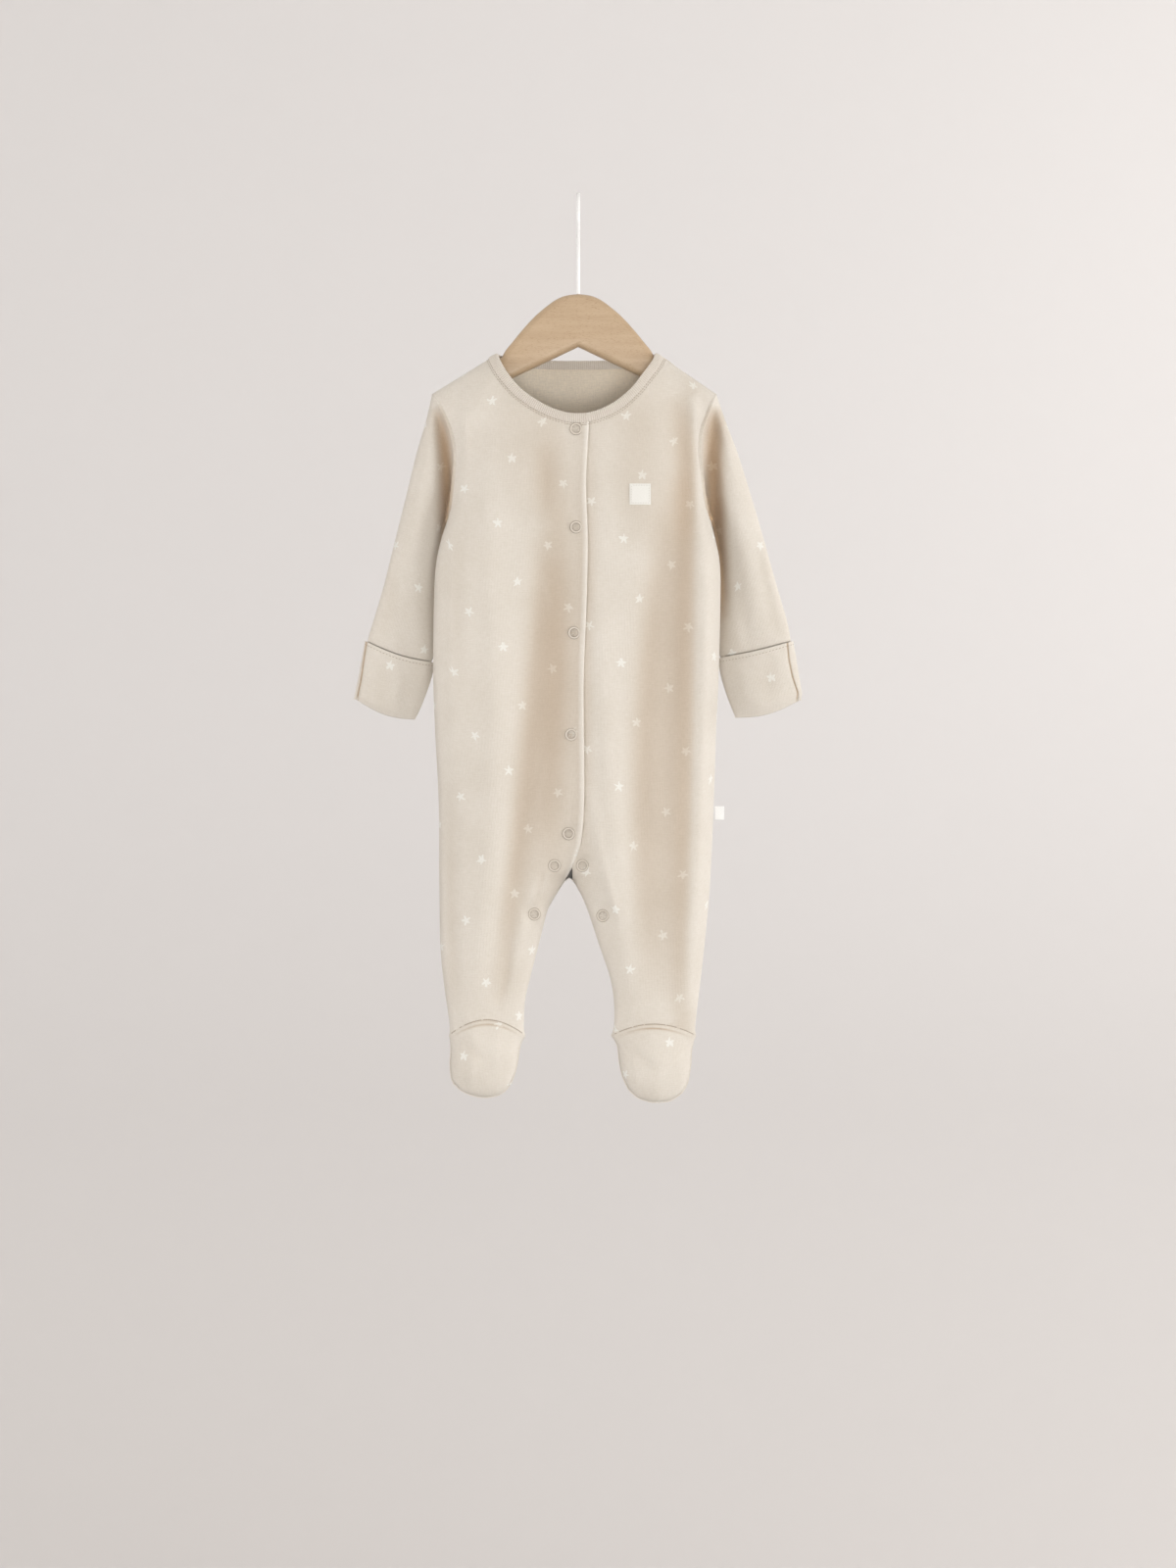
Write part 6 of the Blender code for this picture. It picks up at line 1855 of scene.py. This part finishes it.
# ---------------------------------------------------------------------------
# Hook. Steel wire in white enamel, pressed into the bore, up, forward and over.
# ---------------------------------------------------------------------------
HOOK_RADIUS = 16.4           # to the wire's middle
HOOK_SHANK_DROP = 52.0
HOOK_SWING = 12.0
HOOK_JOIN_ANGLE = 215.0
HOOK_TIP_ANGLE = 32.0
ENAMEL_COLOR = (0.860, 0.855, 0.840)
ENAMEL_SHADE = (0.800, 0.795, 0.780)


def make_enamel_material():
    material, tree, shader = new_material("white_enamel")
    flow = noise_node(tree, object_place(tree), 160.0, 2.0)
    tree.links.new(mixed(tree, remap(tree, flow, 0.3, 0.7), ENAMEL_COLOR, ENAMEL_SHADE),
                   shader.inputs["Base Color"])
    tree.links.new(remap(tree, flow, 0.0, 1.0, 0.22, 0.34), shader.inputs["Roughness"])
    shader.inputs["Coat Weight"].default_value = 0.3
    return material


def hook_route():
    """Up the shank, forward round the rail and down behind it, as (y, z) points."""
    foot = CROWN_DROP[0] + BORE_DEPTH - 1.0
    centre = (0.0, WIRE_RADIUS - HOOK_RADIUS)
    join, last = math.radians(HOOK_JOIN_ANGLE), math.radians(-HOOK_TIP_ANGLE)
    arc = [(centre[0] + HOOK_RADIUS * math.cos(turn), centre[1] + HOOK_RADIUS * math.sin(turn))
           for turn in np.linspace(join, last, 60)]
    start, end = (0.0, -HOOK_SHANK_DROP), arc[0]
    ahead = (math.sin(join), -math.cos(join))
    swing = []
    for t in np.linspace(0.0, 1.0, 17)[1:-1]:
        up = (start[0], start[1] + HOOK_SWING * t)
        over = (end[0] - ahead[0] * HOOK_SWING * (1 - t), end[1] - ahead[1] * HOOK_SWING * (1 - t))
        share = float(smooth(t))
        swing.append((lerp(up[0], over[0], share), lerp(up[1], over[1], share)))
    return [(0.0, -foot), (0.0, -CROWN_DROP[0]), start] + swing + arc


wire = bpy.data.curves.new("hook", "CURVE")
wire.dimensions = "3D"
wire.bevel_depth = WIRE_RADIUS * MM
wire.bevel_resolution = 5
wire.use_fill_caps = True
hook = piece_from_curve("enamelled_hook", wire, [(0.0, y, z) for y, z in hook_route()], False)
bpy.ops.object.shade_smooth_by_angle(angle=math.radians(50))
hook.data.materials.clear()
hook.data.materials.append(make_enamel_material())
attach(hook, "root")
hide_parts("hanger_hook")

# ---------------------------------------------------------------------------
# Studio. A pale wall that rounds into a pale floor, well clear of the suit on all
# sides. Big soft lights stand at the front and both sides, and one washes the wall.
# ---------------------------------------------------------------------------
FLOOR_Z = -1.75
ROOM = 3.4                   # from the suit to the wall, in metres, all round
COVE = 0.8
WALL_TOP = 3.2
TURNS = 96
PAPER_COLOR = (0.665, 0.645, 0.635)
# painted shade: the wall is painted darker towards the floor
PAPER_PAINTED_SHADE_LOW = (0.590, 0.567, 0.552)
FLOOR_COLOR = (0.430, 0.412, 0.398)


def make_paper_material():
    material, tree, shader = new_material("backdrop_paper")
    body = object_place(tree)
    wash = noise_node(tree, body, 0.7, 2.0)
    paper = mixed(tree, wash, PAPER_COLOR, tuple(0.97 * c for c in PAPER_COLOR))
    height = split_xyz(tree, body)["Z"]
    # painted shade, growing towards the bottom of the wall
    low = remap(tree, height, -0.2, -1.6, 0.0, 1.0, True)
    flat = remap(tree, height, FLOOR_Z + 0.05, FLOOR_Z, 0.0, 1.0, True)
    wall = mixed(tree, low, paper, PAPER_PAINTED_SHADE_LOW)
    tree.links.new(mixed(tree, flat, wall, FLOOR_COLOR), shader.inputs["Base Color"])
    shader.inputs["Roughness"].default_value = 0.9
    shader.inputs["Specular IOR Level"].default_value = 0.1
    return material


profile = [(ROOM - COVE + COVE * math.sin(turn), FLOOR_Z + COVE * (1 - math.cos(turn)))
           for turn in np.linspace(0.0, math.pi / 2, 24)]
profile += [(ROOM, WALL_TOP)]
backdrop_mesh = bpy.data.meshes.new("backdrop")
ring_vertices = [(r * math.sin(2 * math.pi * k / TURNS), r * math.cos(2 * math.pi * k / TURNS), z)
                 for r, z in profile for k in range(TURNS)]
ring_faces = []
for i in range(len(profile) - 1):
    for k in range(TURNS):
        here, beside = i * TURNS + k, i * TURNS + (k + 1) % TURNS
        ring_faces.append([here, beside, beside + TURNS, here + TURNS])
backdrop_mesh.from_pydata(ring_vertices, [], ring_faces + [list(range(TURNS))[::-1]])
backdrop_mesh.shade_smooth()
backdrop_mesh.polygons[len(ring_faces)].use_smooth = False
backdrop = bpy.data.objects.new("backdrop", backdrop_mesh)
bpy.context.scene.collection.objects.link(backdrop)
backdrop_mesh.materials.append(make_paper_material())


def soft_light(name, place, aim, size, energy, color):
    light = bpy.data.lights.new(name, "AREA")
    light.shape = "RECTANGLE"
    light.size, light.size_y = size
    light.energy = energy
    light.color = color
    lamp = bpy.data.objects.new(name, light)
    lamp.location = place
    lamp.rotation_euler = (Vector(aim) - Vector(place)).to_track_quat("-Z", "Y").to_euler()
    bpy.context.scene.collection.objects.link(lamp)
    return lamp


soft_light("key", (2.65, -0.85, -0.4), (0.0, 0.0, -0.45), (1.2, 1.8), 42.0, (0.98, 0.99, 1.0))
soft_light("front", (0.5, -3.2, -0.9), (0.0, 0.0, -0.4), (2.6, 1.8), 79.0, (0.975, 0.99, 1.0))
soft_light("side", (-2.5, -1.3, -0.4), (0.0, 0.0, -0.45), (1.0, 1.8), 25.0, (0.98, 0.99, 1.0))
soft_light("wall", (2.3, 0.9, 0.5), (1.3, 3.2, -0.1), (1.0, 1.4), 52.0, (1.0, 1.0, 1.0))
world = bpy.data.worlds.new("room_light")
world.use_nodes = True
sky = world.node_tree.nodes["Background"]
sky.inputs["Color"].default_value = (1.0, 0.968, 0.925, 1.0)
sky.inputs["Strength"].default_value = 0.92
bpy.context.scene.world = world
bpy.context.scene.view_settings.view_transform = "Standard"

lens = bpy.data.cameras.new("camera")
lens.sensor_width = 36.0
lens.lens = 91.8
camera = bpy.data.objects.new("camera", lens)
camera.location = (0.00735, -3.0, -0.441)
camera.rotation_euler = (math.pi / 2, 0.0, 0.0)
bpy.context.scene.collection.objects.link(camera)
bpy.context.scene.camera = camera
